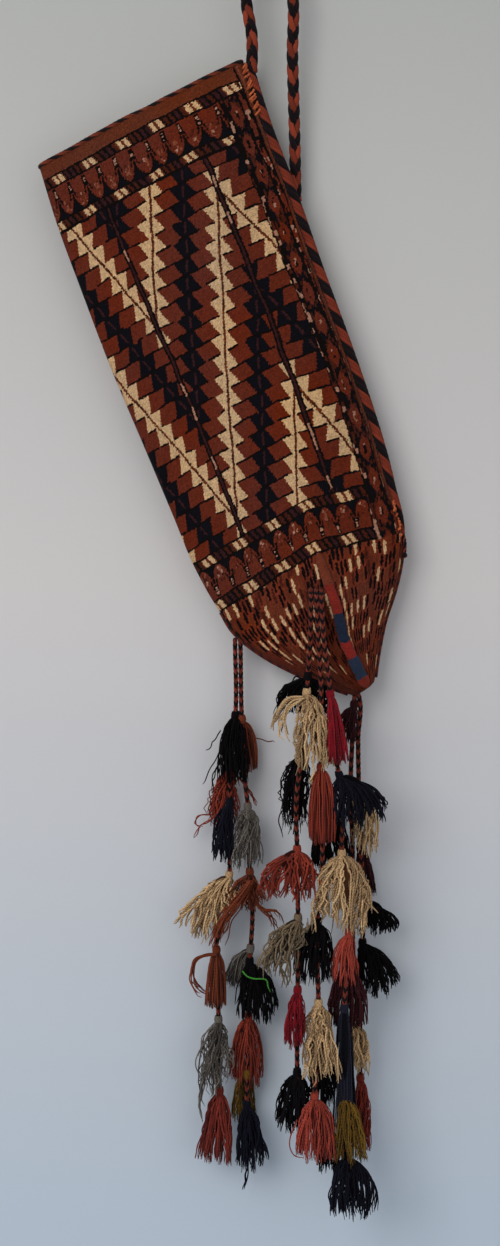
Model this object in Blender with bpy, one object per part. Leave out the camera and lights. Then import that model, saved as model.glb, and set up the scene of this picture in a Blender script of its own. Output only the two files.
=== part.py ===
"""A tent pole bag of pile-woven wool: a tube with an open mouth and a pointed bottom of four flaps.

It hangs aslant on a wall from a braided rope, with three bunches of braided strings below it that
carry wool tassels. Metres, +Z up. The origin is the inside of the rope's top, where a peg holds
it. The viewer stands toward -Y and the wall is toward +Y.
"""
import math

import bmesh
import bpy
from mathutils import Vector

# Driving sizes of the bag, in its own flat frame: u across, v down its length
MOUTH_WIDTH = 0.2373
TUBE_LENGTH = 0.4977
FLAP_LENGTH = 0.1365
RIDGE_DEPTH = 0.038
FOLD_RADIUS = 0.0075
BACK_BULGE = 0.004
CLOTH_THICKNESS = 0.004
HANG_TILT = math.radians(22.3)
MOUTH_RISE = 0.023

# Driving sizes of the ropes, bindings and strings
ROPE_DIAMETER = 0.0095
LOOP_RADIUS = 0.0231
ROPE_DROP = 0.0966
BRAID_DIAMETER = 0.0110
BRAID_START = 0.03
STRING_DIAMETER = 0.0046
EDGE_DIAMETER = 0.0032
SEAM_WIDTH = 0.0120
SEAM_DEPTH = 0.0060
STITCH_DIAMETER = 0.0018
TASSEL_DEPTH = 0.0200
TASSEL_HEAD = 0.0042
GAP = 0.0004
# How full the cloth stands between a fold and the ridge: 1 is straight, more is rounder
CREST_POWER = 1.35
# How near the flats of two eight-sided cords may come, as a share of their radii
FLAT_SIDE = 0.94

# How finely the surfaces are divided
PANEL_STEPS = 8
TASSEL_SIDES = 10
ROPE_STEPS = 24
BRAID_STEPS = 14
STRING_STEPS = 18
# Strings have their points closer together where they leave the cloth
STRING_CROWDING = 1.5

# One row across the cloth: how far along it lies, then the left fold, the front ridge and the right
# seam, each as (share of the mouth's width, lag behind the row's own distance along the bag), and
# last the share of the ridge's full depth
TUBE_ROWS = (
    (0.00, (-0.009, 0.0000), (0.620, -0.0150), (1.000, -0.0230), 0.16),
    (0.12, (-0.031, -0.0020), (0.620, -0.0150), (0.976, -0.0200), 0.34),
    (0.28, (-0.044, -0.0020), (0.615, -0.0155), (0.965, -0.0190), 0.52),
    (0.45, (-0.053, -0.0010), (0.600, -0.0150), (0.945, -0.0160), 0.66),
    (0.62, (-0.049, 0.0010), (0.575, -0.0140), (0.931, -0.0110), 0.78),
    (0.78, (-0.046, 0.0025), (0.535, -0.0125), (0.909, -0.0060), 0.90),
    (0.90, (-0.044, 0.0035), (0.505, -0.0120), (0.882, -0.0020), 0.97),
    (1.00, (-0.015, 0.0055), (0.475, -0.0120), (0.860, 0.0010), 1.00),
)
# The same for the four flaps, with the distance along them as a share of the flap's length
FLAP_ROWS = (
    (0.18, (0.013, 0.0090), (0.468, -0.0050), (0.814, 0.0020), 1.02),
    (0.38, (0.088, 0.0130), (0.460, -0.0030), (0.739, 0.0010), 0.95),
    (0.58, (0.190, 0.0150), (0.442, -0.0010), (0.642, 0.0010), 0.78),
    (0.78, (0.292, 0.0120), (0.447, 0.0000), (0.562, 0.0020), 0.52),
    (0.96, (0.380, 0.0060), (0.456, 0.0020), (0.504, 0.0010), 0.24),
)
# How many of the last rows have no hollow behind them, so the point is solid
SOLID_TIP_STEPS = 2

# Each string's run below its bunch's tie, as (across, down) in metres; the front ones come out over
# the seam's roll within the first 9 mm
STRING_A = ((-0.0028, 0.000), (-0.0022, 0.075), (-0.0064, 0.122), (-0.0085, 0.168), (-0.0085, 0.242),
            (-0.0140, 0.290), (-0.0225, 0.320), (-0.0205, 0.383), (-0.0190, 0.473))
STRING_B = ((0.0028, 0.000), (0.0040, 0.075), (0.0082, 0.153), (0.0105, 0.172), (0.0125, 0.240),
            (0.0155, 0.290), (0.0125, 0.340), (0.0115, 0.395), (0.0095, 0.486))
STRING_C = ((-0.0056, 0.000), (-0.0056, 0.009), (-0.0062, 0.050), (-0.0088, 0.090), (-0.0155, 0.175), (-0.0198, 0.205),
            (-0.0198, 0.270), (-0.0188, 0.343), (-0.0198, 0.470), (-0.0198, 0.500))
STRING_D = ((0.0000, 0.000), (0.0000, 0.009), (0.0018, 0.050), (0.0044, 0.090), (0.0044, 0.190), (0.0062, 0.270),
            (0.0004, 0.354), (0.0020, 0.425), (-0.0020, 0.522))
STRING_E = ((0.0053, 0.000), (0.0051, 0.009), (0.0074, 0.050), (0.0135, 0.100), (0.0210, 0.180), (0.0240, 0.192),
            (0.0262, 0.280), (0.0335, 0.350), (0.0283, 0.430), (0.0283, 0.525), (0.0310, 0.592))
STRING_F = ((-0.0028, 0.000), (-0.0050, 0.045), (-0.0068, 0.085), (-0.0050, 0.160), (-0.0046, 0.250),
            (-0.0060, 0.320), (-0.0044, 0.385))
STRING_G = ((0.0028, 0.000), (0.0010, 0.045), (0.0015, 0.090), (0.0030, 0.155), (0.0072, 0.215),
            (0.0055, 0.260), (0.0015, 0.330), (0.0035, 0.410))

# Colours of the wool, as sRGB shares of 255
COLOURS = {
    "rust_pile": (112, 48, 30), "edge_cord": (96, 40, 28), "braid_wool": (125, 55, 40),
    "seam_wool": (130, 50, 38), "stitch_wool": (190, 92, 50), "string_wool": (120, 52, 38),
    "black_wool": (22, 21, 26), "navy_wool": (34, 38, 56), "cream_wool": (205, 172, 122),
    "terracotta_wool": (160, 62, 44), "coral_wool": (186, 76, 60), "crimson_wool": (160, 24, 36),
    "maroon_wool": (64, 24, 28), "brown_wool": (138, 66, 40), "grey_wool": (106, 101, 95),
    "taupe_wool": (128, 110, 92), "olive_wool": (122, 98, 30), "slate_wool": (44, 48, 62),
}
WOOL_ROUGHNESS = 0.92


class Bunch:
    """One tie point, its strings by letter as (name, first point's depth, route) and its tassels."""

    def __init__(self, name, tie, strings, tassels):
        self.name = name
        self.tie = tie
        self.strings = strings
        self.tassels = tassels

    def across_at(self, letter, down):
        """How far beside the tie a string hangs at a distance below it."""
        route = self.strings[letter][2]
        for (x0, z0), (x1, z1) in zip(route, route[1:]):
            if down <= z1:
                return x0 + (x1 - x0) * (down - z0) / (z1 - z0)
        return route[-1][0]


# Each tassel: name, wool, its string, how far down it is tied, left and right reach, lowest point,
# whether it hangs in front of its string (-1) or behind it (+1), and the height of its split
LEFT_TASSELS = (
    ("black_tassel_top_left", "black_wool", "A", 0.075, (-0.021, 0.011), 0.152, -1, 0.0),
    ("brown_tassel_top_left", "brown_wool", "B", 0.079, (-0.003, 0.022), 0.134, 1, 0.0),
    ("terracotta_tassel_left", "terracotta_wool", "A", 0.131, (-0.027, -0.007), 0.182, 1, 0.0),
    ("navy_tassel_left", "navy_wool", "A", 0.167, (-0.027, -0.005), 0.230, -1, 0.0),
    ("grey_tassel_left", "grey_wool", "B", 0.171, (-0.003, 0.025), 0.246, -1, 0.0),
    ("cream_tassel_left", "cream_wool", "A", 0.243, (-0.055, -0.003), 0.316, -1, 0.0),
    ("brown_tassel_wide_left", "brown_wool", "B", 0.240, (-0.020, 0.047), 0.314, 1, 0.035),
    ("brown_tassel_low_left", "brown_wool", "A", 0.322, (-0.033, -0.013), 0.382, -1, 0.0),
    ("grey_green_tassel_left", "taupe_wool", "B", 0.320, (-0.010, 0.018), 0.371, 1, 0.0),
    ("black_tassel_low_left", "black_wool", "B", 0.334, (0.000, 0.042), 0.396, -1, 0.0),
    ("grey_tassel_low_left", "grey_wool", "A", 0.395, (-0.041, -0.010), 0.463, -1, 0.0),
    ("coral_tassel_left", "coral_wool", "B", 0.400, (-0.008, 0.026), 0.470, -1, 0.0),
    ("olive_tassel_left", "olive_wool", "B", 0.452, (-0.007, 0.018), 0.514, 1, 0.0),
    ("crimson_tassel_low_left", "crimson_wool", "A", 0.470, (-0.040, -0.004), 0.546, -1, 0.0),
    ("navy_tassel_low_left", "navy_wool", "B", 0.484, (0.000, 0.029), 0.560, -1, 0.0),
)
FRONT_TASSELS = (
    ("black_tassel_front_top", "black_wool", "C", 0.088, (-0.042, 0.006), 0.121, 1, 0.0),
    ("cream_tassel_front_top", "cream_wool", "C", 0.101, (-0.046, 0.008), 0.184, -1, 0.0),
    ("crimson_tassel_front_top", "crimson_wool", "E", 0.102, (0.010, 0.030), 0.172, -1, 0.0),
    ("black_tassel_front_left", "black_wool", "C", 0.165, (-0.036, -0.010), 0.256, 1, 0.0),
    ("terracotta_tassel_front", "terracotta_wool", "D", 0.188, (-0.007, 0.014), 0.260, -1, 0.0),
    ("navy_tassel_front_fan", "navy_wool", "E", 0.186, (0.018, 0.070), 0.252, -1, 0.0),
    ("terracotta_tassel_front_fan", "terracotta_wool", "C", 0.268, (-0.060, -0.006), 0.320, -1, 0.0),
    ("cream_tassel_front_middle", "cream_wool", "E", 0.272, (-0.003, 0.054), 0.364, -1, 0.0),
    ("taupe_tassel_front", "taupe_wool", "C", 0.339, (-0.058, -0.016), 0.404, -1, 0.0),
    ("black_tassel_front_middle", "black_wool", "D", 0.342, (-0.018, 0.012), 0.408, 1, 0.0),
    ("coral_tassel_front_middle", "coral_wool", "E", 0.347, (0.0150, 0.040), 0.408, 1, 0.0),
    ("crimson_tassel_front_left", "crimson_wool", "C", 0.410, (-0.031, -0.015), 0.470, -1, 0.0),
    ("cream_tassel_front_low", "cream_wool", "D", 0.423, (-0.013, 0.018), 0.511, -1, 0.0),
    ("slate_tassel_front", "slate_wool", "E", 0.424, (0.017, 0.038), 0.574, 1, 0.0),
    ("black_tassel_front_low", "black_wool", "C", 0.494, (-0.044, -0.007), 0.566, 1, 0.0),
    ("coral_tassel_front_low", "coral_wool", "D", 0.519, (-0.021, 0.019), 0.586, -1, 0.0),
    ("olive_tassel_front", "olive_wool", "E", 0.518, (0.019, 0.050), 0.580, -1, 0.0),
    ("black_tassel_front_last", "black_wool", "D", 0.520, (-0.005, 0.015), 0.612, 1, 0.0),
    ("navy_tassel_front_last", "navy_wool", "E", 0.584, (0.006, 0.058), 0.641, -1, 0.0),
)
TIP_TASSELS = (
    ("maroon_tassel_tip", "maroon_wool", "F", 0.010, (-0.024, -0.004), 0.051, -1, 0.0),
    ("beige_tassel_tip", "cream_wool", "G", 0.096, (-0.003, 0.016), 0.174, -1, 0.0),
    ("brown_tassel_tip", "maroon_wool", "G", 0.161, (-0.002, 0.019), 0.215, 1, 0.0),
    ("black_tassel_tip", "black_wool", "G", 0.221, (0.006, 0.034), 0.251, -1, 0.0),
    ("black_tassel_tip_low", "black_wool", "G", 0.260, (-0.002, 0.040), 0.318, -1, 0.0),
    ("beige_tassel_tip_low", "cream_wool", "F", 0.344, (-0.010, 0.012), 0.396, -1, 0.0),
    ("coral_tassel_tip_low", "coral_wool", "G", 0.404, (-0.005, 0.011), 0.480, -1, 0.0),
)


def flat_axes():
    """Directions of u and v in the world, for the bag hanging aslant."""
    across = Vector((math.cos(HANG_TILT), 0.0, math.sin(HANG_TILT)))
    along = Vector((math.sin(HANG_TILT), 0.0, -math.cos(HANG_TILT)))
    return across, along


def placed(u, y, v):
    """World point of the bag's flat coordinates, hung by the right end of its mouth."""
    across, along = flat_axes()
    corner = Vector((-LOOP_RADIUS - ROPE_DIAMETER * 0.5, 0.0, -ROPE_DROP))
    return corner + across * (u - MOUTH_WIDTH) + along * (v + MOUTH_RISE) + Vector((0.0, y, 0.0))


def cloth_rows():
    """All rows of the cloth in metres: distance along, three (u, v) corners and the ridge's depth."""
    rows = []
    for share, *corners, depth in TUBE_ROWS:
        rows.append((share * TUBE_LENGTH, corners, depth))
    for share, *corners, depth in FLAP_ROWS:
        rows.append((TUBE_LENGTH + share * FLAP_LENGTH, corners, depth))
    return [(t, [(a * MOUTH_WIDTH, t + lag) for a, lag in corners], depth * RIDGE_DEPTH)
            for t, corners, depth in rows]


def fold_height(distance, radius):
    """Half thickness of the folded cloth at a distance from the fold's outer edge."""
    reach = min(distance / radius, 1.0)
    return radius * math.sqrt(1.0 - (1.0 - reach) ** 2)


def crest_height(share):
    """Rise from a fold (0) to the ridge (1): steep at the fold and soft over the crest."""
    return 1.0 - (1.0 - share) ** CREST_POWER


def ring_points(row, inset):
    """One closed ring of the cloth: front from the left fold to the right seam, then the back."""
    _, (left, ridge, right), depth = row
    radius = FOLD_RADIUS - inset
    start, end = left[0] + inset, right[0] - inset
    shares = [(i / PANEL_STEPS) ** 2.0 for i in range(PANEL_STEPS + 1)]
    points = []
    for share in shares:
        u = start + (ridge[0] - start) * share
        v = left[1] + (ridge[1] - left[1]) * share
        points.append((u, -fold_height(u - start, radius) - depth * crest_height(share), v))
    for share in reversed(shares[:-1]):
        u = end + (ridge[0] - end) * share
        v = right[1] + (ridge[1] - right[1]) * share
        points.append((u, -fold_height(end - u, radius) - depth * crest_height(share), v))
    middle = (start + end) * 0.5
    for share in shares[1:] + shares[-2:0:-1]:
        on_right = len(points) <= 3 * PANEL_STEPS
        u = end + (middle - end) * share if on_right else start + (middle - start) * share
        fraction = (u - start) / (end - start)
        bulge = BACK_BULGE * math.sin(math.pi * fraction)
        v = left[1] + (right[1] - left[1]) * fraction
        points.append((u, fold_height(min(u - start, end - u), radius) + bulge, v))
    return points


def front_y(row, u):
    """Depth of the cloth's left front panel at a place across the row."""
    points = ring_points(row, 0.0)[:PANEL_STEPS + 1]
    for (u0, y0, _), (u1, y1, _) in zip(points, points[1:]):
        if u <= u1:
            return y0 + (y1 - y0) * (u - u0) / (u1 - u0)
    return points[-1][1]


def add_material(obj, slot):
    """A plain wool material of the piece's own, in its slot's colour."""
    material = bpy.data.materials.new(f"{obj.name}_{slot}")
    material.use_nodes = True
    shader = material.node_tree.nodes["Principled BSDF"]
    linear = [((c / 255.0 + 0.055) / 1.055) ** 2.4 for c in COLOURS[slot]]
    shader.inputs["Base Color"].default_value = (*linear, 1.0)
    shader.inputs["Roughness"].default_value = WOOL_ROUGHNESS
    shader.inputs["Metallic"].default_value = 0.0
    obj.data.materials.append(material)


def link_object(name, data, slot, parent=None):
    """Puts a new object in the scene; under a parent, its data stays in world coordinates."""
    obj = bpy.data.objects.new(name, data)
    bpy.context.scene.collection.objects.link(obj)
    if parent is not None:
        obj.parent = parent
        obj.matrix_parent_inverse = parent.matrix_basis.inverted()
    add_material(obj, slot)
    return obj


def finish_mesh(name, bm, slot, parent=None):
    """Turns a bmesh into a closed, smooth-shaded object."""
    bmesh.ops.recalc_face_normals(bm, faces=bm.faces)
    mesh = bpy.data.meshes.new(name)
    bm.to_mesh(mesh)
    bm.free()
    mesh.shade_smooth()
    return link_object(name, mesh, slot, parent)


def join_rings(bm, lower, upper):
    """A band of faces between two closed rings of the same number of vertices."""
    count = len(lower)
    for i in range(count):
        j = (i + 1) % count
        bm.faces.new((lower[i], lower[j], upper[j], upper[i]))


def close_ring(bm, ring, point):
    """A fan of faces from a closed ring to one point."""
    centre = bm.verts.new(point)
    for i, vert in enumerate(ring):
        bm.faces.new((vert, ring[(i + 1) % len(ring)], centre))


def make_pile_bag():
    """The woven bag in one piece: an open tube whose four flaps meet in a point."""
    rows = cloth_rows()
    bm = bmesh.new()
    outer = [[bm.verts.new(placed(*p)) for p in ring_points(row, 0.0)] for row in rows]
    inner_rows = rows[:-SOLID_TIP_STEPS]
    inner = [[bm.verts.new(placed(*p)) for p in ring_points(row, CLOTH_THICKNESS)] for row in inner_rows]
    for rings in (outer, inner):
        for lower, upper in zip(rings, rings[1:]):
            join_rings(bm, lower, upper)
    join_rings(bm, outer[0], inner[0])
    close_ring(bm, outer[-1], ring_centre(rows[-1], 0.004))
    close_ring(bm, inner[-1], ring_centre(inner_rows[-1], 0.004))
    return finish_mesh("pile_bag", bm, "rust_pile")


def ring_centre(row, further):
    """World point in the middle of a row, a little further down the bag."""
    points = [placed(*p) for p in ring_points(row, 0.0)]
    return sum(points, Vector()) / len(points) + flat_axes()[1] * further


def sweep(bm, path, side_axes, closed=False):
    """A tube of an oval section along a path; side_axes gives each point's two half axes."""
    count = 6
    rings = []
    for point, (first, second) in zip(path, side_axes):
        angles = [2.0 * math.pi * i / count for i in range(count)]
        rings.append([bm.verts.new(point + first * math.cos(a) + second * math.sin(a)) for a in angles])
    for lower, upper in zip(rings, rings[1:] + rings[:1] if closed else rings[1:]):
        join_rings(bm, lower, upper)
    if not closed:
        for ring, point in ((rings[0], path[0]), (rings[-1], path[-1])):
            close_ring(bm, ring, point)


def make_mouth_binding():
    """The overcast edge: a thin closed roll that lies on the rim of the mouth."""
    radius = EDGE_DIAMETER * 0.5
    row = cloth_rows()[0]
    rim = [placed(*p) for p in ring_points(row, CLOTH_THICKNESS * 0.5)]
    along = flat_axes()[1]
    path = [point - along * (radius + GAP) for point in rim]
    axes = []
    for i, point in enumerate(path):
        run = (path[(i + 1) % len(path)] - path[i - 1]).normalized()
        axes.append((run.cross(along).normalized() * radius, along * radius))
    bm = bmesh.new()
    sweep(bm, path, axes, closed=True)
    return finish_mesh("mouth_binding", bm, "edge_cord")


def seam_line(corner, first_row):
    """Points of one corner line of the flaps, as (u, y, v), from a row to just above the tip."""
    points = []
    for row in cloth_rows()[first_row:]:
        _, (left, ridge, right), depth = row
        if corner == "left":
            points.append((left[0], 0.0, left[1]))
        elif corner == "right":
            points.append((right[0], 0.0, right[1]))
        elif corner == "front":
            points.append((ridge[0], -FOLD_RADIUS - depth, ridge[1]))
        else:
            back = FOLD_RADIUS + BACK_BULGE
            points.append(((left[0] + right[0]) * 0.5, back, (left[1] + right[1]) * 0.5))
    return points


def make_seam(name, corner, outward, half_width, half_depth):
    """A sewn roll that covers one seam between two flaps."""
    first_row = len(TUBE_ROWS) - 1
    path = [placed(*p) for p in seam_line(corner, first_row)]
    path[-1] = path[-2].lerp(path[-1], 0.75)
    axes, shifted = [], []
    for i, point in enumerate(path):
        run = (path[min(i + 1, len(path) - 1)] - path[max(i - 1, 0)]).normalized()
        out = (outward - run * outward.dot(run)).normalized()
        side = run.cross(out).normalized()
        taper = 0.72 if i in (0, len(path) - 1) else 1.0
        shifted.append(point + out * (half_depth + GAP))
        axes.append((side * half_width * taper, out * half_depth * taper))
    bm = bmesh.new()
    sweep(bm, shifted, axes)
    return finish_mesh(name, bm, "seam_wool")


def make_seams():
    """The four seams of the flaps; the front one is a thick padded roll."""
    across = flat_axes()[0]
    thin = EDGE_DIAMETER * 0.5
    make_seam("front_seam_roll", "front", Vector((0.0, -1.0, 0.0)), SEAM_WIDTH * 0.5, SEAM_DEPTH * 0.5)
    make_seam("back_seam_roll", "back", Vector((0.0, 1.0, 0.0)), thin, thin)
    make_seam("left_seam_roll", "left", -across, thin, thin)
    make_seam("right_seam_roll", "right", across, thin, thin)


def smooth_points(route, count, crowding=1.0):
    """Points on a Catmull-Rom curve through the route's own, closer at its start if crowding is above 1."""
    dense = []
    padded = [route[0] * 2.0 - route[1], *route, route[-1] * 2.0 - route[-2]]
    for a, b, c, d in zip(padded, padded[1:], padded[2:], padded[3:]):
        for step in range(12):
            s = step / 12.0
            dense.append(0.5 * (2.0 * b + (c - a) * s + (2.0 * a - 5.0 * b + 4.0 * c - d) * s ** 2
                                + (3.0 * b - a - 3.0 * c + d) * s ** 3))
    dense.append(route[-1].copy())
    runs = [0.0]
    for p, q in zip(dense, dense[1:]):
        runs.append(runs[-1] + (q - p).length)
    points, j = [], 0
    for i in range(count):
        goal = runs[-1] * (i / (count - 1)) ** crowding
        while j < len(dense) - 2 and runs[j + 1] < goal:
            j += 1
        share = (goal - runs[j]) / max(runs[j + 1] - runs[j], 1e-9)
        points.append(dense[j].lerp(dense[j + 1], min(share, 1.0)))
    return points


def make_cord(name, slot, points, diameter, parent=None):
    """A round cord along the points of a smooth curve."""
    curve = bpy.data.curves.new(name, "CURVE")
    curve.dimensions = "3D"
    curve.bevel_depth = diameter * 0.5
    curve.bevel_resolution = 2
    curve.use_fill_caps = True
    spline = curve.splines.new("POLY")
    spline.points.add(len(points) - 1)
    for vertex, point in zip(spline.points, points):
        vertex.co = (*point, 1.0)
    return link_object(name, curve, slot, parent)


def make_hanging_rope():
    """The rope: up from the mouth's right end, over the peg and down behind the bag."""
    radius = LOOP_RADIUS
    half = ROPE_DIAMETER * 0.5
    centre = Vector((0.0, 0.0, half - radius))
    back = (BRAID_DIAMETER * 0.5 + half) * FLAT_SIDE + GAP
    route = [edge_point(TUBE_LENGTH * BRAID_START) - flat_axes()[1] * (GAP + half * 0.3)]
    route.append(route[0] + Vector((0.0005, 0.0, 0.034)))
    for step in range(7):
        angle = math.pi * (1.0 - step / 6.0)
        route.append(centre + Vector((math.cos(angle), 0.0, math.sin(angle))) * radius)
    route.append(Vector((radius + 0.0016, back * 0.4, -0.090)))
    route.append(Vector((radius + 0.0040, back, -0.157)))
    route.append(Vector((radius + 0.0115, back, -0.242)))
    return make_cord("hanging_rope", "braid_wool", smooth_points(route, ROPE_STEPS), ROPE_DIAMETER)


def edge_row(along):
    """The right seam's u and v and the ridge's u and depth at a distance along the bag."""
    rows = cloth_rows()
    for (t0, c0, d0), (t1, c1, d1) in zip(rows, rows[1:]):
        if along <= t1:
            break
    share = (along - t0) / (t1 - t0)
    mixed = [a + (b - a) * share for a, b in ((c0[2][0], c1[2][0]), (c0[2][1], c1[2][1]),
                                              (c0[1][0], c1[1][0]), (d0, d1))]
    return mixed


def edge_point(along):
    """World point beside the right seam where the braid's middle runs, at a distance along."""
    u, v, _, _ = edge_row(along)
    return placed(u + BRAID_DIAMETER * 0.5 + GAP * 2.0, 0.0, v)


def make_side_braid():
    """The thick braid sewn along the right seam, from the mouth to the flaps."""
    shares = (BRAID_START, 0.12, 0.28, 0.45, 0.62, 0.78, 0.90, 1.0)
    route = [edge_point(TUBE_LENGTH * share) for share in shares]
    return make_cord("side_braid", "braid_wool", smooth_points(route, BRAID_STEPS), BRAID_DIAMETER)


def make_stitches(name, first, last, slot):
    """A zigzag of whipping over the joint of the braid and the bag, in one piece."""
    half = STITCH_DIAMETER * 0.5
    count = 13
    bite = FOLD_RADIUS * 0.6
    path, axes = [], []
    for i in range(count):
        along = first + (last - first) * i / (count - 1)
        u, v, ridge_u, depth = edge_row(along)
        if i % 2:
            cloth = fold_height(bite, FOLD_RADIUS) + depth * crest_height(bite / (u - ridge_u))
            path.append(placed(u - bite, -cloth - GAP * 2.0 - half, v))
        else:
            path.append(edge_point(along) + Vector((0.0, -BRAID_DIAMETER * 0.5 - GAP - half, 0.0)))
    for i in range(count):
        run = (path[min(i + 1, count - 1)] - path[max(i - 1, 0)]).normalized()
        axes.append((run.cross(Vector((0.0, 1.0, 0.0))) * half * 2.4, Vector((0.0, half, 0.0))))
    bm = bmesh.new()
    sweep(bm, path, axes)
    return finish_mesh(name, bm, slot)


def tassel_rings(head, reach, bottom):
    """Rings of a tassel from its head down: (centre across, down, half width, flute)."""
    middle = (reach[0] + reach[1]) * 0.5
    half = (reach[1] - reach[0]) * 0.5
    length = bottom - head[1]
    profile = ((0.00, 0.00, 0.0, 0.80), (0.04, 0.00, 0.0, 1.00), (0.10, 0.05, 0.0, 0.80),
               (0.30, 0.55, 0.75, 0.0), (0.65, 0.95, 0.97, 0.0), (1.00, 1.00, 1.00, 0.0))
    rings = []
    for share, lean, spread, knob in profile:
        across = head[0] + (middle - head[0]) * lean
        width = TASSEL_HEAD * knob + half * spread
        room = min(across - reach[0], reach[1] - across)
        rings.append((across, head[1] + length * share, min(width, max(room, TASSEL_HEAD)), spread))
    return rings


def make_tassel(bunch, entry, parent):
    """One wool tassel: a wrapped head and a fluted skirt with a ragged lower edge."""
    name, slot, letter, down_to_head, reach, bottom, side, split = entry
    head = (bunch.across_at(letter, down_to_head), down_to_head)
    string_room = STRING_DIAMETER * 0.5 + GAP
    bm = bmesh.new()
    rings = []
    for across, down, half_width, spread in tassel_rings(head, reach, bottom):
        half_depth = min(half_width, TASSEL_DEPTH * 0.5)
        y = bunch.tie.y + side * (string_room + half_depth)
        ring = []
        for i in range(TASSEL_SIDES):
            angle = 2.0 * math.pi * (i + 0.5) / TASSEL_SIDES
            flute = 1.0 - 0.14 * spread * (i % 2)
            drop = 0.004 * (i % 2) if spread == 1.0 else 0.0
            x = math.cos(angle) * half_width * flute
            if spread == 1.0:
                drop += split * (1.0 - abs(x) / half_width)
            place = Vector((bunch.tie.x + across + x, y + math.sin(angle) * half_depth * flute,
                            bunch.tie.z - down + drop))
            ring.append(bm.verts.new(place))
        rings.append(ring)
    for upper, lower in zip(rings, rings[1:]):
        join_rings(bm, upper, lower)
    top = sum((v.co for v in rings[0]), Vector()) / TASSEL_SIDES
    base = sum((v.co for v in rings[-1]), Vector()) / TASSEL_SIDES
    close_ring(bm, rings[0], top + Vector((0.0, 0.0, TASSEL_HEAD * 0.6)))
    close_ring(bm, rings[-1], base + Vector((0.0, 0.0, 0.006)))
    return finish_mesh(name, bm, slot, parent)


def string_route(bunch, offsets, first_y):
    """World points of one string; it starts at the cloth and hangs in its bunch's plane."""
    points = [Vector((bunch.tie.x + across, bunch.tie.y, bunch.tie.z - down)) for across, down in offsets]
    points[0].y = first_y
    return points


def make_bunch(bunch):
    """A bunch of strings with its tassels, under an empty on the axis about which it swings."""
    pivot = bpy.data.objects.new(f"{bunch.name}_pivot", None)
    pivot.location = bunch.tie
    bpy.context.scene.collection.objects.link(pivot)
    for name, first_y, offsets in bunch.strings.values():
        points = smooth_points(string_route(bunch, offsets, first_y), STRING_STEPS, STRING_CROWDING)
        make_cord(name, "string_wool", points, STRING_DIAMETER, pivot)
    for entry in bunch.tassels:
        make_tassel(bunch, entry, pivot)


def left_bunch():
    """The strings tied at the bag's lower left corner."""
    left = cloth_rows()[len(TUBE_ROWS)][1][0]
    out = EDGE_DIAMETER + GAP * 2.0
    behind = (EDGE_DIAMETER + STRING_DIAMETER) * 0.5 + GAP
    tie = placed(left[0] - out, behind, left[1]) + Vector((0.005, 0.0, -STRING_DIAMETER * 0.83))
    strings = {"A": ("string_left_outer", tie.y, STRING_A), "B": ("string_left_inner", tie.y, STRING_B)}
    return Bunch("left_strings", tie, strings, LEFT_TASSELS)


def front_bunch():
    """The strings tied beside the top of the front seam."""
    row = cloth_rows()[len(TUBE_ROWS)]
    _, (left, ridge, _), depth = row
    plane = -FOLD_RADIUS - depth - SEAM_DEPTH - GAP * 3.0 - STRING_DIAMETER * 0.5
    u = ridge[0] - SEAM_WIDTH * 0.5 - STRING_DIAMETER * 1.75
    tie_share = (u - left[0]) / (ridge[0] - left[0])
    tie = placed(u, plane, left[1] + (ridge[1] - left[1]) * tie_share)
    strings = {}
    for letter, name, route in (("C", "string_front_left", STRING_C), ("D", "string_front_middle", STRING_D),
                                ("E", "string_front_right", STRING_E)):
        cloth = front_y(row, u + route[0][0] + STRING_DIAMETER * 0.3)
        strings[letter] = (name, cloth - STRING_DIAMETER * 0.22, route)
    return Bunch("front_strings", tie, strings, FRONT_TASSELS)


def tip_bunch():
    """The strings tied at the point of the bag."""
    last = cloth_rows()[-1]
    corners = [placed(*p) for p in ring_points(last, 0.0)] + [ring_centre(last, 0.004)]
    lowest = min(corners, key=lambda point: point.z)
    tie = Vector((lowest.x + 0.007, lowest.y, lowest.z - GAP * 0.5))
    strings = {"F": ("string_tip_left", tie.y, STRING_F), "G": ("string_tip_right", tie.y, STRING_G)}
    return Bunch("tip_strings", tie, strings, TIP_TASSELS)


def clear_scene():
    """Removes whatever the scene holds."""
    for obj in list(bpy.data.objects):
        bpy.data.objects.remove(obj, do_unlink=True)


def main():
    """Builds every piece."""
    clear_scene()
    make_pile_bag()
    make_mouth_binding()
    make_seams()
    make_side_braid()
    make_hanging_rope()
    make_stitches("corner_whipping", 0.020, 0.072, "stitch_wool")
    make_stitches("end_whipping", TUBE_LENGTH - 0.052, TUBE_LENGTH - 0.006, "stitch_wool")
    for bunch in (left_bunch(), front_bunch(), tip_bunch()):
        make_bunch(bunch)


main()
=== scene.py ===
"""Dresses the tent pole bag: its pile weave, seams, ropes, braided strings and wool tassels.

The bag hangs aslant from a peg by a braided rope, with its flat back to a pale wall. All is in
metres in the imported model's frame: +Z up, the viewer toward -Y and the wall toward +Y.
"""
import logging
import math
from dataclasses import dataclass, field
from enum import Enum

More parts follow.
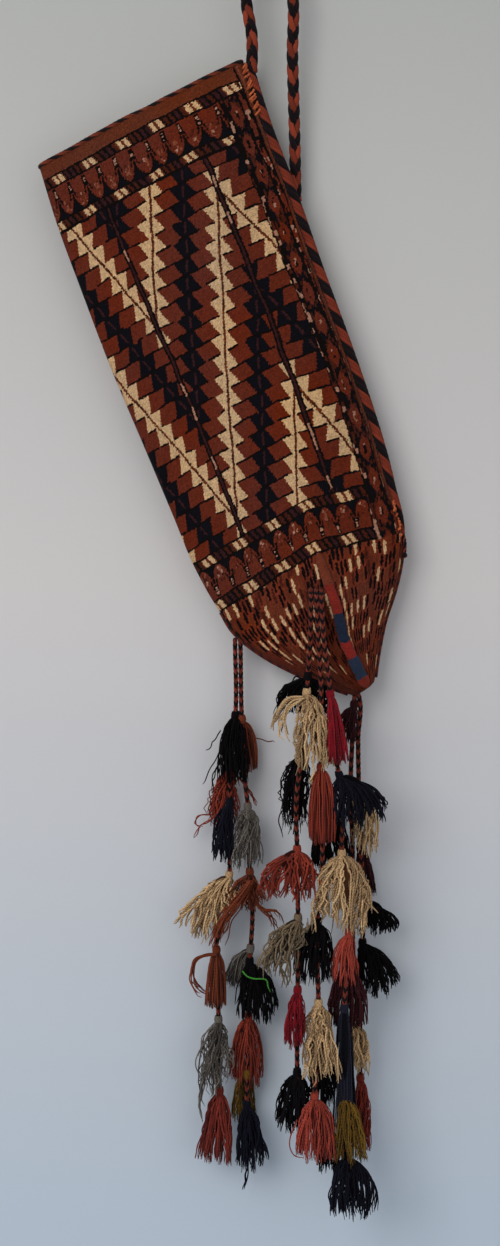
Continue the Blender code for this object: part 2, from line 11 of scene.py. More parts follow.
import bpy
import numpy as np
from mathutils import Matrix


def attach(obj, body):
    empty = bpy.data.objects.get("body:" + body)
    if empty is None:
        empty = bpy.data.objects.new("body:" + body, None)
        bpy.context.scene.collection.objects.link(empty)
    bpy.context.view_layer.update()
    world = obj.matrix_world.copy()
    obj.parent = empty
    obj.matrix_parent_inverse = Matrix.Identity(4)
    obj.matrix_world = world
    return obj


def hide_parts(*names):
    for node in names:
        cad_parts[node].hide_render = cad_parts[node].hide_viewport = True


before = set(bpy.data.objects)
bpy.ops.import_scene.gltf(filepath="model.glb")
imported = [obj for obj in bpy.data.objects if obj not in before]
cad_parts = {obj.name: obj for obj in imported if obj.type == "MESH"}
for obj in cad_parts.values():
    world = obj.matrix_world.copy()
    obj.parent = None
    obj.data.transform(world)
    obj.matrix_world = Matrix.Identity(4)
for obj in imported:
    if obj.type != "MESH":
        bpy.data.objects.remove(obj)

LOG = logging.getLogger("tent_pole_bag")
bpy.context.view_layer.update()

# One knot of the pile, which is the unit of the weave's pattern
KNOT = 0.00105
TOWARD_WALL = np.array((0.0, 1.0, 0.0))

# One row across the cloth: how far along it lies, then the left fold, the front ridge and the right
# seam, each as (share of the mouth's width, lag behind the row's own distance along the bag), and
# last the share of the ridge's full depth
TUBE_ROWS = (
    (0.00, (-0.009, 0.0000), (0.620, -0.0150), (1.000, -0.0230), 0.16),
    (0.12, (-0.031, -0.0020), (0.620, -0.0150), (0.976, -0.0200), 0.34),
    (0.28, (-0.044, -0.0020), (0.615, -0.0155), (0.965, -0.0190), 0.52),
    (0.45, (-0.053, -0.0010), (0.600, -0.0150), (0.945, -0.0160), 0.66),
    (0.62, (-0.049, 0.0010), (0.575, -0.0140), (0.931, -0.0110), 0.78),
    (0.78, (-0.046, 0.0025), (0.535, -0.0125), (0.909, -0.0060), 0.90),
    (0.90, (-0.044, 0.0035), (0.505, -0.0120), (0.882, -0.0020), 0.97),
    (1.00, (-0.015, 0.0055), (0.475, -0.0120), (0.860, 0.0010), 1.00),
)
# The same for the four flaps, with the distance along them as a share of the flap's length
FLAP_ROWS = (
    (0.18, (0.013, 0.0090), (0.468, -0.0050), (0.814, 0.0020), 1.02),
    (0.38, (0.088, 0.0130), (0.460, -0.0030), (0.739, 0.0010), 0.95),
    (0.58, (0.190, 0.0150), (0.442, -0.0010), (0.642, 0.0010), 0.78),
    (0.78, (0.292, 0.0120), (0.447, 0.0000), (0.562, 0.0020), 0.52),
    (0.96, (0.380, 0.0060), (0.456, 0.0020), (0.504, 0.0010), 0.24),
)
# Where the weave's guide lines run across the cloth: share along the tube, then the first mirror
# line, the second and the side border, each as a share of the mouth's width
GUIDE_ROWS = (
    (0.00, 0.206, 0.677, 0.832),
    (0.28, 0.201, 0.677, 0.832),
    (0.45, 0.204, 0.675, 0.827),
    (0.62, 0.210, 0.663, 0.823),
    (0.78, 0.209, 0.650, 0.805),
    (0.90, 0.208, 0.635, 0.774),
    (1.00, 0.208, 0.620, 0.743),
)
# The same guide lines in the pattern, counted in knots from the left fold
FIRST_MIRROR, SECOND_MIRROR, SIDE_BORDER = 45.0, 157.0, 187.0


@dataclass(frozen=True)
class BagSizes:
    """The bag's driving sizes, the same as those of its solids."""

    mouth_width: float = 0.2373
    tube_length: float = 0.4977
    flap_length: float = 0.1365
    ridge_depth: float = 0.038
    fold_radius: float = 0.0075
    back_bulge: float = 0.004
    crest_power: float = 1.35
    cloth_thickness: float = 0.0035
    hang_tilt: float = math.radians(22.3)
    mouth_rise: float = 0.023
    rope: float = 0.0095
    loop_radius: float = 0.0231
    rope_drop: float = 0.0966
    braid: float = 0.0110
    braid_start: float = 0.03
    string: float = 0.0046
    edge: float = 0.0032
    gap: float = 0.0004


@dataclass
class BagForm:
    """The hanging bag's surface, from its rows."""

    sizes: BagSizes

    def __post_init__(self) -> None:
        """Reads the rows into arrays."""
        tube, flap, width = self.sizes.tube_length, self.sizes.flap_length, self.sizes.mouth_width
        self.along = np.array([share * tube for share, *_ in TUBE_ROWS]
                              + [tube + share * flap for share, *_ in FLAP_ROWS])
        self.table = np.array([
            (left[0] * width, left[1], ridge[0] * width, ridge[1], right[0] * width, right[1],
             depth * self.sizes.ridge_depth)
            for _, left, ridge, right, depth in TUBE_ROWS + FLAP_ROWS])
        self.end = float(self.along[-1])
        tilt = self.sizes.hang_tilt
        self.across_axis = np.array((math.cos(tilt), 0.0, math.sin(tilt)))
        self.along_axis = np.array((math.sin(tilt), 0.0, -math.cos(tilt)))

    def placed(self, u: np.ndarray, y: np.ndarray, v: np.ndarray) -> np.ndarray:
        """World points of the bag's flat coordinates, hung by the right end of its mouth.

        Args:
            u: distances across.
            y: depths, toward the wall.
            v: distances down the bag.

        Returns:
            The points, with a last axis of three.
        """
        sizes = self.sizes
        u, y, v = np.broadcast_arrays(np.asarray(u, float), y, v)
        corner = np.array((-sizes.loop_radius - sizes.rope * 0.5, 0.0, -sizes.rope_drop))
        flat = ((u - sizes.mouth_width)[..., None] * self.across_axis
                + (v + sizes.mouth_rise)[..., None] * self.along_axis)
        return corner + flat + y[..., None] * TOWARD_WALL

    def row(self, along: np.ndarray) -> np.ndarray:
        """The seven numbers of the table at distances along the bag, on a smooth curve."""
        return smooth_table(self.along, self.table, np.asarray(along, float))

    def fold_height(self, distance: np.ndarray) -> np.ndarray:
        """Half thickness of the folded cloth at a distance from the fold's outer edge.

        Args:
            distance: distances from the edge.

        Returns:
            The half thickness there.
        """
        radius = self.sizes.fold_radius
        reach = np.clip(distance / radius, 0.0, 1.0)
        return radius * np.sqrt(np.maximum(1.0 - (1.0 - reach) ** 2, 0.0))

    def crest_height(self, share: np.ndarray) -> np.ndarray:
        """Rise from a fold (0) to the ridge (1): steep at the fold and soft over the crest."""
        return 1.0 - (1.0 - np.clip(share, 0.0, 1.0)) ** self.sizes.crest_power

    def seam_point(self, along: np.ndarray, corner: str) -> np.ndarray:
        """World points of one corner line of the cloth.

        Args:
            along: distances along the bag.
            corner: left, right, front or back.

        Returns:
            The points.
        """
        rows = self.row(along)
        along = np.asarray(along, float)
        left_u, left_v = rows[..., 0], along + rows[..., 1]
        right_u, right_v = rows[..., 4], along + rows[..., 5]
        if corner == "left":
            return self.placed(left_u, 0.0, left_v)
        if corner == "right":
            return self.placed(right_u, 0.0, right_v)
        if corner == "front":
            depth = -self.sizes.fold_radius - rows[..., 6]
            return self.placed(rows[..., 2], depth, along + rows[..., 3])
        back = self.sizes.fold_radius + self.sizes.back_bulge
        return self.placed((left_u + right_u) * 0.5, back, (left_v + right_v) * 0.5)

    def braid_point(self, along: np.ndarray) -> np.ndarray:
        """World points of the middle of the braid that is sewn along the right seam."""
        rows = self.row(along)
        u = rows[..., 4] + self.sizes.braid * 0.5 + self.sizes.gap * 2.0
        return self.placed(u, 0.0, np.asarray(along, float) + rows[..., 5])


def smooth_table(places: np.ndarray, table: np.ndarray, wanted: np.ndarray) -> np.ndarray:
    """Reads a table between its rows on a smooth curve that passes through them.

    Args:
        places: where the table's rows are, rising.
        table: one row of numbers for each place.
        wanted: the places to read.

    Returns:
        One row of numbers for each wanted place.
    """
    slopes = np.gradient(table, places, axis=0)
    i = np.clip(np.searchsorted(places, wanted, side="right") - 1, 0, len(places) - 2)
    step = (places[i + 1] - places[i])[..., None]
    s = (wanted[..., None] - places[i][..., None]) / step
    return ((2.0 * s ** 3 - 3.0 * s ** 2 + 1.0) * table[i] + (s ** 3 - 2.0 * s ** 2 + s) * step * slopes[i]
            + (3.0 * s ** 2 - 2.0 * s ** 3) * table[i + 1] + (s ** 3 - s ** 2) * step * slopes[i + 1])


def smooth_points(route: np.ndarray, count: int) -> np.ndarray:
    """Even points on a smooth curve through the route's own, which needn't be evenly spaced.

    Args:
        route: the route's own points.
        count: how many points to return.

    Returns:
        The points.
    """
    route = np.asarray(route, float)
    steps = np.diff(route, axis=0)
    spans = np.linalg.norm(steps, axis=1)[:, None]
    slopes = steps / spans
    inner = (slopes[:-1] * spans[1:] + slopes[1:] * spans[:-1]) / (spans[:-1] + spans[1:])
    tangents = np.vstack((slopes[:1], inner, slopes[-1:]))
    s = (np.arange(12) / 12.0)[:, None]
    dense = [a + (b - a) * s ** 2 * (3.0 - 2.0 * s)
             + span * s * (1.0 - s) * (leave * (1.0 - s) - arrive * s)
             for a, b, span, leave, arrive in zip(route, route[1:], spans, tangents, tangents[1:])]
    return even_points(np.vstack(dense + [route[-1:]]), count)


def even_points(path: np.ndarray, count: int) -> np.ndarray:
    """Even points along the straight steps of a path.

    Args:
        path: the path's own points.
        count: how many points to return.

    Returns:
        The points.
    """
    runs = path_runs(path)
    goals = np.linspace(0.0, runs[-1], count)
    return np.stack([np.interp(goals, runs, path[:, axis]) for axis in range(3)], axis=1)


def path_runs(points: np.ndarray) -> np.ndarray:
    """Distance along a path at each of its points."""
    steps = np.linalg.norm(np.diff(points, axis=0), axis=1)
    return np.concatenate(([0.0], np.cumsum(steps)))


def unit(vectors: np.ndarray) -> np.ndarray:
    """The same vectors at length 1."""
    return vectors / np.maximum(np.linalg.norm(vectors, axis=-1, keepdims=True), 1e-12)


def headings(points: np.ndarray, closed: bool) -> np.ndarray:
    """Unit directions along paths, whose steps are on the last axis but one.

    Args:
        points: the paths' points.
        closed: whether each path runs back into its own start.

    Returns:
        One direction for each point.
    """
    if closed:
        return unit(np.roll(points, -1, axis=-2) - np.roll(points, 1, axis=-2))
    return unit(np.gradient(points, axis=-2))


@dataclass
class YarnMesh:
    """Gathers lengths of yarn and makes them one mesh, with a shade and a tint for each length.

    The UV map runs once round the yarn and, in metres, along it.
    """

    points: list = field(default_factory=list)
    quads: list = field(default_factory=list)
    caps: list = field(default_factory=list)
    quad_uvs: list = field(default_factory=list)
    cap_uvs: list = field(default_factory=list)
    shades: list = field(default_factory=list)
    tints: list = field(default_factory=list)
    count: int = 0

    def add(self, centres: np.ndarray, outward: np.ndarray, half_width: np.ndarray | float,
            half_depth: np.ndarray | float, sides: int, shade: np.ndarray | float = 0.5,
            tint: np.ndarray | float = 0.0, closed: bool = False) -> None:
        """Adds lengths of yarn of an oval section.

        Args:
            centres: the middle of each length, as lengths by steps by three.
            outward: the direction of the section's depth, which broadcasts to centres.
            half_width: half the section's width, which broadcasts to lengths by steps.
            half_depth: half its depth, likewise.
            sides: how many sides a section has.
            shade: how light each length is.
            tint: which of two wools each length is.
            closed: whether each length runs back into its own start.
        """
        lengths, steps, _ = centres.shape
        runs = headings(centres, closed)
        out = np.broadcast_to(outward, centres.shape)
        out = unit(out - runs * np.sum(out * runs, axis=-1, keepdims=True))
        side = np.cross(runs, out)
        angles = 2.0 * np.pi * np.arange(sides) / sides
        wide = np.broadcast_to(half_width, (lengths, steps))[..., None, None]
        deep = np.broadcast_to(half_depth, (lengths, steps))[..., None, None]
        rings = (centres[:, :, None] + side[:, :, None] * wide * np.cos(angles)[:, None]
                 + out[:, :, None] * deep * np.sin(angles)[:, None])
        index = self.count + np.arange(lengths * steps * sides).reshape(lengths, steps, sides)
        self._add_faces(centres, index, closed)
        self.points.append(rings.reshape(-1, 3))
        for kept, value in ((self.shades, shade), (self.tints, tint)):
            kept.append(np.repeat(np.broadcast_to(value, lengths), steps * sides))
        self.count += index.size

    def _add_faces(self, centres: np.ndarray, index: np.ndarray, closed: bool) -> None:
        """Adds the faces between the sections, and the caps of open lengths.

        Args:
            centres: the middle of each length.
            index: the vertex numbers, as lengths by steps by sides.
            closed: whether each length runs back into its own start.
        """
        lengths, _, sides = index.shape
        ahead = np.roll(index, -1, axis=1) if closed else index[:, 1:]
        here = index if closed else index[:, :-1]
        turned_here, turned_ahead = np.roll(here, -1, axis=2), np.roll(ahead, -1, axis=2)
        self.quads.append(np.stack((here, turned_here, turned_ahead, ahead), axis=-1).reshape(-1, 4))
        gaps = np.linalg.norm(np.diff(centres, axis=1), axis=-1)
        run = np.concatenate((np.zeros((lengths, 1)), np.cumsum(gaps, axis=1)), axis=1)
        if closed:
            run = np.concatenate((run, run[:, -1:] + gaps[:, :1]), axis=1)
        low = np.broadcast_to(run[:, :-1, None], here.shape)
        high = np.broadcast_to(run[:, 1:, None], here.shape)
        left = np.broadcast_to(np.arange(sides) / sides, here.shape)
        right = left + 1.0 / sides
        corners = ((left, low), (right, low), (right, high), (left, high))
        self.quad_uvs.append(np.stack([np.stack(c, axis=-1) for c in corners], axis=-2).reshape(-1, 2))
        if not closed:
            self.caps += [index[:, 0, ::-1], index[:, -1]]
            self.cap_uvs.append(np.zeros((2 * lengths * sides, 2)))

    def build(self, name: str, material: bpy.types.Material) -> bpy.types.Object:
        """Makes the object, smooth shaded and in the scene.

        Args:
            name: the object's name.
            material: its finish.

        Returns:
            The object.
        """
        quads = np.vstack(self.quads)
        corners = [quads.ravel()] + [cap.ravel() for cap in self.caps]
        sizes = [np.full(len(quads), 4)] + [np.full(len(cap), cap.shape[1]) for cap in self.caps]
        obj = raw_object(name, np.vstack(self.points), np.concatenate(corners), np.concatenate(sizes),
                         np.vstack(self.quad_uvs + self.cap_uvs))
        for label, values in (("shade", self.shades), ("tint", self.tints)):
            attribute = obj.data.attributes.new(label, "FLOAT", "POINT")
            attribute.data.foreach_set("value", np.concatenate(values).astype(np.float32))
        obj.data.materials.append(material)
        return obj


def raw_object(name: str, points: np.ndarray, corners: np.ndarray, sizes: np.ndarray,
               uvs: np.ndarray) -> bpy.types.Object:
    """Makes an object from arrays, smooth shaded and in the scene.

    Args:
        name: the object's name.
        points: the vertices.
        corners: the vertex numbers of all faces in a row.
        sizes: how many corners each face has.
        uvs: one place on the UV map for each corner.

    Returns:
        The object, with a UV map named lay.
    """
    mesh = bpy.data.meshes.new(name)
    mesh.vertices.add(len(points))
    mesh.vertices.foreach_set("co", points.astype(np.float32).ravel())
    mesh.loops.add(len(corners))
    mesh.loops.foreach_set("vertex_index", corners.astype(np.int32))
    mesh.polygons.add(len(sizes))
    starts = np.concatenate(([0], np.cumsum(sizes)[:-1]))
    mesh.polygons.foreach_set("loop_start", starts.astype(np.int32))
    mesh.update(calc_edges=True)
    layer = mesh.uv_layers.new(name="lay")
    layer.data.foreach_set("uv", uvs.astype(np.float32).ravel())
    mesh.validate()
    obj = bpy.data.objects.new(name, mesh)
    bpy.context.scene.collection.objects.link(obj)
    shade_smooth(obj)
    return obj


def select_only(obj: bpy.types.Object) -> None:
    """Selects one object and makes it the active one."""
    bpy.ops.object.select_all(action="DESELECT")
    obj.select_set(True)
    bpy.context.view_layer.objects.active = obj


def shade_smooth(obj: bpy.types.Object) -> None:
    """Shades an object smooth."""
    select_only(obj)
    bpy.ops.object.shade_smooth()


def srgb(red: int, green: int, blue: int) -> tuple[float, float, float, float]:
    """A colour for a socket, from its parts as the screen shows them, from 0 to 255."""
    linear = [((c / 255.0 + 0.055) / 1.055) ** 2.4 if c > 10 else c / 255.0 / 12.92
              for c in (red, green, blue)]
    return (*linear, 1.0)


class Bench:
    """A node tree at work, with short ways to add its nodes."""

    def __init__(self, tree: bpy.types.NodeTree) -> None:
        """Takes up a material's or a group's node tree."""
        self.tree = tree

    def node(self, kind: str, **inputs: object) -> bpy.types.Node:
        """Adds a node and fills its inputs.

        Args:
            kind: the node's type.
            inputs: values or sockets by name.

        Returns:
            The node.
        """
        node = self.tree.nodes.new(kind)
        step = len(self.tree.nodes)
        node.location = (180.0 * (step // 8), -160.0 * (step % 8))
        self.fill(node, **inputs)
        return node

    def fill(self, node: bpy.types.Node, **inputs: object) -> None:
        """Sets or links a node's inputs by name, with underscores for the spaces in their names."""
        for name, value in inputs.items():
            self.feed(node.inputs[name.replace("_", " ")], value)

    def feed(self, socket: bpy.types.NodeSocket, value: object) -> None:
        """Links an input or sets its value.

        Args:
            socket: the input.
            value: a field, a socket, a yarn or a plain value.
        """
        if isinstance(value, Field):
            value = value.socket
        if isinstance(value, Yarn):
            value = value.number
        if isinstance(value, bpy.types.NodeSocket):
            self.tree.links.new(value, socket)
        else:
            socket.default_value = value

    def group(self, tree: bpy.types.NodeTree, **inputs: object) -> bpy.types.bpy_prop_collection:
        """Places a node group and fills its inputs.

        Args:
            tree: the group.
            inputs: values or sockets by name.

        Returns:
            Its outputs.
        """
        node = self.node("ShaderNodeGroup")
        node.node_tree = tree
        self.fill(node, **inputs)
        return node.outputs

    def place(self) -> bpy.types.NodeSocket:
        """The place on the piece, in metres."""
        return self.node("ShaderNodeTexCoord").outputs["Object"]

    def uv(self) -> bpy.types.NodeSocket:
        """The place on the piece's own UV map.

        Returns:
            The place's socket.
        """
        node = self.node("ShaderNodeUVMap")
        node.uv_map = "lay"
        return node.outputs[0]

    def attribute(self, name: str) -> bpy.types.NodeSocket:
        """A number that is kept at each vertex.

        Args:
            name: the attribute's name.

        Returns:
            The number's socket.
        """
        node = self.node("ShaderNodeAttribute")
        node.attribute_name = name
        return node.outputs["Fac"]

    def parts(self, place: object) -> list["Field"]:
        """The three numbers of a place."""
        return [Field(self, part) for part in self.node("ShaderNodeSeparateXYZ", Vector=place).outputs]

    def at(self, across: object, along: object) -> bpy.types.NodeSocket:
        """The place with these two numbers."""
        return self.node("ShaderNodeCombineXYZ", X=across, Y=along).outputs[0]

    def noise(self, place: object, scale: float, detail: float = 2.0) -> "Field":
        """Smooth noise from 0 to 1, with this many finer layers."""
        noise = self.node("ShaderNodeTexNoise", Vector=place, Scale=scale, Detail=detail)
        return Field(self, noise.outputs["Fac"])

    def chance(self, across: "Field", along: "Field") -> "Field":
        """A number from 0 to 1 that is the same all over one place, and differs from the next."""
        node = self.node("ShaderNodeTexWhiteNoise", Vector=self.at(across, along))
        return Field(self, node.outputs["Value"])

    def mix(self, first: object, second: object, share: object) -> bpy.types.NodeSocket:
        """Mixes two colours.

        Args:
            first: the colour at share 0.
            second: the colour at share 1.
            share: how much of the second.

        Returns:
            The mixed colour's socket.
        """
        node = self.node("ShaderNodeMix", Factor=share)
        node.data_type = "RGBA"
        colours = [socket for socket in node.inputs if socket.type == "RGBA"]
        self.feed(colours[0], first)
        self.feed(colours[1], second)
        return [socket for socket in node.outputs if socket.type == "RGBA"][0]

    def steps(self, share: "Field", stops: list) -> bpy.types.NodeSocket:
        """A colour that changes in plain steps.

        Args:
            share: the number that picks the step, from 0 to 1.
            stops: pairs of a step's start and its colour; the first start is 0.

        Returns:
            The colour's socket.
        """
        node = self.node("ShaderNodeValToRGB", Fac=share)
        node.color_ramp.interpolation = "CONSTANT"
        elements = node.color_ramp.elements
        elements.remove(elements[1])
        elements[0].color = srgb(*stops[0][1])
        for start, colour in stops[1:]:
            elements.new(start).color = srgb(*colour)
        return node.outputs[0]

    def varied(self, colour: object, value: object, saturation: object = 1.0) -> bpy.types.NodeSocket:
        """The same colour, darker or lighter and less or more strong."""
        changed = self.node("ShaderNodeHueSaturation", Color=colour, Value=value, Saturation=saturation)
        return changed.outputs[0]


class GroupBench(Bench):
    """A bench on a new shader node group."""

    def __init__(self, name: str, inputs: dict[str, str], outputs: dict[str, str]) -> None:
        """Starts the group.

        Args:
            name: the group's name.
            inputs: each input's kind of socket by its name: Vector, Float or Color.
            outputs: likewise.
        """
        super().__init__(bpy.data.node_groups.new(name, "ShaderNodeTree"))
        for way, sockets in (("INPUT", inputs), ("OUTPUT", outputs)):
            for label, kind in sockets.items():
                self.tree.interface.new_socket(label, in_out=way, socket_type=f"NodeSocket{kind}")
        self.given = self.node("NodeGroupInput").outputs
        self.out = self.node("NodeGroupOutput")


class Field:
    """A number that varies over the surface; plain arithmetic on it becomes Math nodes."""

    def __init__(self, bench: Bench, socket: bpy.types.NodeSocket) -> None:
        """Wraps an output of one of the bench's nodes."""
        self.bench = bench
        self.socket = socket

    def math(self, operation: str, *others: object) -> "Field":
        """Adds one Math node.

        Args:
            operation: the node's operation.
            others: the further operands, numbers or fields.

        Returns:
            The result.
        """
        node = self.bench.node("ShaderNodeMath")
        node.operation = operation
        for slot, value in zip(node.inputs, (self, *others)):
            self.bench.feed(slot, value)
        return Field(self.bench, node.outputs[0])

    def __add__(self, other: object) -> "Field":
        """Sum."""
        return self.math("ADD", other)

    def __sub__(self, other: object) -> "Field":
        """Difference."""
        return self.math("SUBTRACT", other)

    def __mul__(self, other: object) -> "Field":
        """Product, which also means both where the two are masks."""
        return self.math("MULTIPLY", other)

    def __truediv__(self, other: object) -> "Field":
        """Quotient."""
        return self.math("DIVIDE", other)

    def floor(self) -> "Field":
        """The whole number below."""
        return self.math("FLOOR")

    def cell(self, size: object) -> "Field":
        """The number of the cell of this size that it falls in."""
        return (self / size).floor()

    def part(self) -> "Field":
        """What is left above the whole number below."""
        return self.math("FRACT")

    def size(self) -> "Field":
        """The number without its sign."""
        return self.math("ABSOLUTE")

    def wave(self) -> "Field":
        """Its sine, from 0 to 1."""
        return self.math("SINE") * 0.5 + 0.5

    def mirror(self, reach: float) -> "Field":
        """Runs from 0 up to reach and back, over and over."""
        return self.math("PINGPONG", reach)

    def above(self, limit: object) -> "Field":
        """1 where it is above the limit, else 0."""
        return self.math("GREATER_THAN", limit)

    def below(self, limit: object) -> "Field":
        """1 where it is below the limit, else 0."""
        return self.math("LESS_THAN", limit)

    def between(self, low: float, high: float) -> "Field":
        """1 from low to high, else 0."""
        return self.math("COMPARE", (low + high) * 0.5, (high - low) * 0.5)

    def positive(self) -> "Field":
        """The number where it is above 0, else 0."""
        return self.math("MAXIMUM", 0.0)

    def clamped(self) -> "Field":
        """The number, held between 0 and 1."""
        return self.math("MINIMUM", 1.0).positive()

    def either(self, other: "Field") -> "Field":
        """1 where one of two masks is 1."""
        return self.math("MAXIMUM", other)

    def opposite(self) -> "Field":
        """1 where a mask is 0, and 0 where it is 1."""
        return self.math("MULTIPLY_ADD", -1.0, 1.0)

    def choose(self, inside: "Yarn", outside: "Yarn") -> "Field":
        """One yarn's number where a mask is 1, and another's where it is 0."""
        return self.math("MULTIPLY_ADD", inside.number - outside.number, outside.number)

    def lay(self, other: object, mask: "Field") -> "Field":
        """Itself, with another laid over it where the mask is 1."""
        return mask.math("MULTIPLY_ADD", other, mask.opposite() * self)


class Yarn(Enum):
    """The yarns of the weave, with the colour that each shows."""

    BLACK = (13, 6, 5)
    NAVY = (11, 9, 15)
    DARK = (70, 30, 19)
    RUST = (101, 42, 28)
    HEM = (101, 49, 31)
    BRICK = (118, 51, 34)
    PLUM = (54, 25, 26)
    CREAM = (206, 168, 126)
    PALE = (170, 124, 102)
    ORANGE = (132, 74, 56)

    @property
    def number(self) -> float:
        """Its place among the yarns."""
        return float(list(Yarn).index(self))


class Weave(GroupBench):
    """The traditional pattern of the pile, drawn in knots across (s) and along (t) the cloth.

    The method of each area gives the yarn's number there and a mask of where it counts.
    """

    field_row = 17.0
    field_period = 76.1
    field_slope = 2.68
    band_top = 105.0
    lean = 5.9
    half_repeat = SECOND_MIRROR - FIRST_MIRROR
    guard_starts = (14.0, 58.5, 420.0, 461.0)
    guard_width = 13.0
    upper_border = (27.0, 31.5)
    lower_border = (433.0, 28.0)
    side_end = 214.4
    tube_end = 474.0

    def __init__(self) -> None:
        """Builds the node group."""
        super().__init__("knotted pattern", {"Place": "Vector"}, {"Colour": "Color", "Height": "Float"})
        place = self.given["Place"]
        across, along, _ = self.parts(place)
        drift, sway = self.noise(place, 26.0, 1.0) - 0.5, self.noise(place, 41.0, 1.0) - 0.5
        rough = self.noise(place, 430.0, 1.0) - 0.5
        self.s = (across / KNOT + drift * 5.5 + rough * 3.6).floor() + 0.5
        self.t = (along / KNOT + sway * 5.0 - rough * 3.0).floor() + 0.5
        yarn = self.field()
        for area in (self.guard, self.border, self.side_border, self.hem, self.plain_edge, self.flaps):
            yarn = yarn.lay(*area())
        self.colour(yarn, place)

    def field(self) -> Field:
        """The tube's middle: stepped bands of blocks that run in mirrored slants.

        Returns:
            The yarn's number.
        """
        s, t = self.s, self.t
        away = (s - SECOND_MIRROR).mirror(self.half_repeat)
        row, part = t.cell(self.field_row), (t / self.field_row).part()
        middle = (row * self.field_row + (self.field_row * 0.5 - self.band_top)) / self.field_slope
        blocks = away - middle
        phase = ((blocks + (part - 0.5) * self.lean) / self.field_period + 0.125).part()
        next_shift = self.field_row / self.field_slope + self.lean * 0.5
        following = ((blocks - next_shift) / self.field_period + 0.125).part()
        cream, navy = phase.below(0.25), phase.between(0.5, 0.75)
        step = (cream - following.below(0.25)).above(0.5).either(
            (navy - following.between(0.5, 0.75)).above(0.5)) * part.above(0.86)
        crease = part.above(0.90) * self.chance(row, s.cell(9.0)).above(0.2)
        band = (away - (t - self.band_top) / self.field_slope) / self.field_period
        cream_line = (band + 0.5).part().between(0.482, 0.518) * cream
        navy_line = band.part().between(0.484, 0.516) * navy * part.between(0.1, 0.75)
        yarn = navy.choose(Yarn.NAVY, Yarn.RUST).lay(Yarn.BLACK, crease)
        yarn = yarn.lay(Yarn.PLUM, navy_line).lay(Yarn.CREAM, cream)
        mixed = self.chance(t.cell(3.0), s.cell(60.0)).above(0.45)
        yarn = yarn.lay(mixed.choose(Yarn.HEM, Yarn.DARK), cream_line).lay(Yarn.BLACK, step)
        edge = (away - self.half_repeat * 0.5).size() * -1.0 + self.half_repeat * 0.5
        fleck = self.chance(t.cell(13.0), s.cell(50.0)).above(0.76)
        yarn = yarn.lay(fleck.choose(Yarn.PALE, Yarn.PLUM), edge.below(1.0))
        return yarn.lay(Yarn.BLACK, edge.between(1.0, 3.0))

    def guard(self) -> tuple[Field, Field]:
        """The four narrow stripes of slanted bars between black lines.

        Returns:
            The yarn's number and the mask.
        """
        s, t = self.s, self.t
        first, second, third, fourth = self.guard_starts
        low, middle, high = t.above(43.0), t.above(250.0), t.above(447.0)
        start = low * (second - first) + middle * (third - second) + high * (fourth - third) + first
        depth = t - start
        mask = depth.between(0.0, self.guard_width) * s.below(self.side_end - 1.0)
        mask = mask * s.below(SIDE_BORDER).either(t.below(43.0))
        centre = low * 20.0 + middle * 13.5 + high * -8.0 - 3.5
        x = ((s - depth * 0.36 - centre + 2.0) / (middle * 2.5 + 40.0)).part() * 40.0
        dark = (x - 14.0) / 6.5
        tone = self.chance(dark.floor(), s.cell(40.0)).above(0.5)
        yarn = tone.choose(Yarn.PLUM, Yarn.DARK).lay(Yarn.BLACK, dark.part().below(0.44))
        pair = x.between(1.4, 6.0).either(x.between(8.9, 13.4))
        yarn = yarn.lay(Yarn.HEM, x.below(15.0)).lay(Yarn.CREAM, pair)
        inside = depth.between(2.4, self.guard_width - 2.4)
        return yarn.lay(Yarn.BLACK, inside.opposite()), mask

    def border(self) -> tuple[Field, Field]:
        """The two wide borders: rust tongues that point to the middle, on navy.

        Returns:
            The yarn's number and the mask.
        """
        s, t = self.s, self.t
        low = t.above(250.0)
        down = (t - self.upper_border[0]) / self.upper_border[1]
        up = (t - self.lower_border[0]) / -self.lower_border[1] + 1.0
        y = down.lay(up, low)
        cell = low * 0.8 + 18.9
        x = (((s - low * 3.9 - 97.9) / cell + 0.5).part() - 0.5).size()
        below = ((y - 0.40) / 0.61).positive()
        reach = (below * below * -1.0 + 1.0).positive().math("SQRT") * 0.5
        outline = (x - reach).size().below(0.05) * y.above(0.45)
        arm = (x + y * 0.34 - 0.50).size().below(0.045) * y.between(0.16, 0.62)
        ground = x.above(0.38) * y.between(0.04, 0.42)
        yarn = x.below(reach).choose(Yarn.RUST, Yarn.NAVY)
        yarn = yarn.lay(Yarn.BLACK, outline.either(arm).either(ground))
        pick = self.chance(t.floor(), s.cell(cell))
        yarn = yarn.lay(Yarn.PALE, x.above(0.44) * y.between(0.08, 0.34) * pick.above(0.42))
        speck = self.chance(t.cell(2.6), s.cell(1.8))
        tip = x.below(0.17) * y.between(0.52, 0.92) * speck.above(0.66)
        yarn = yarn.lay(Yarn.ORANGE, tip).lay(Yarn.PALE, tip * speck.above(0.93))
        yarn = yarn.lay(Yarn.DARK, x.below(0.25) * y.between(0.4, 0.9) * speck.below(0.13))
        return yarn, y.between(0.0, 1.0) * s.below(SIDE_BORDER)

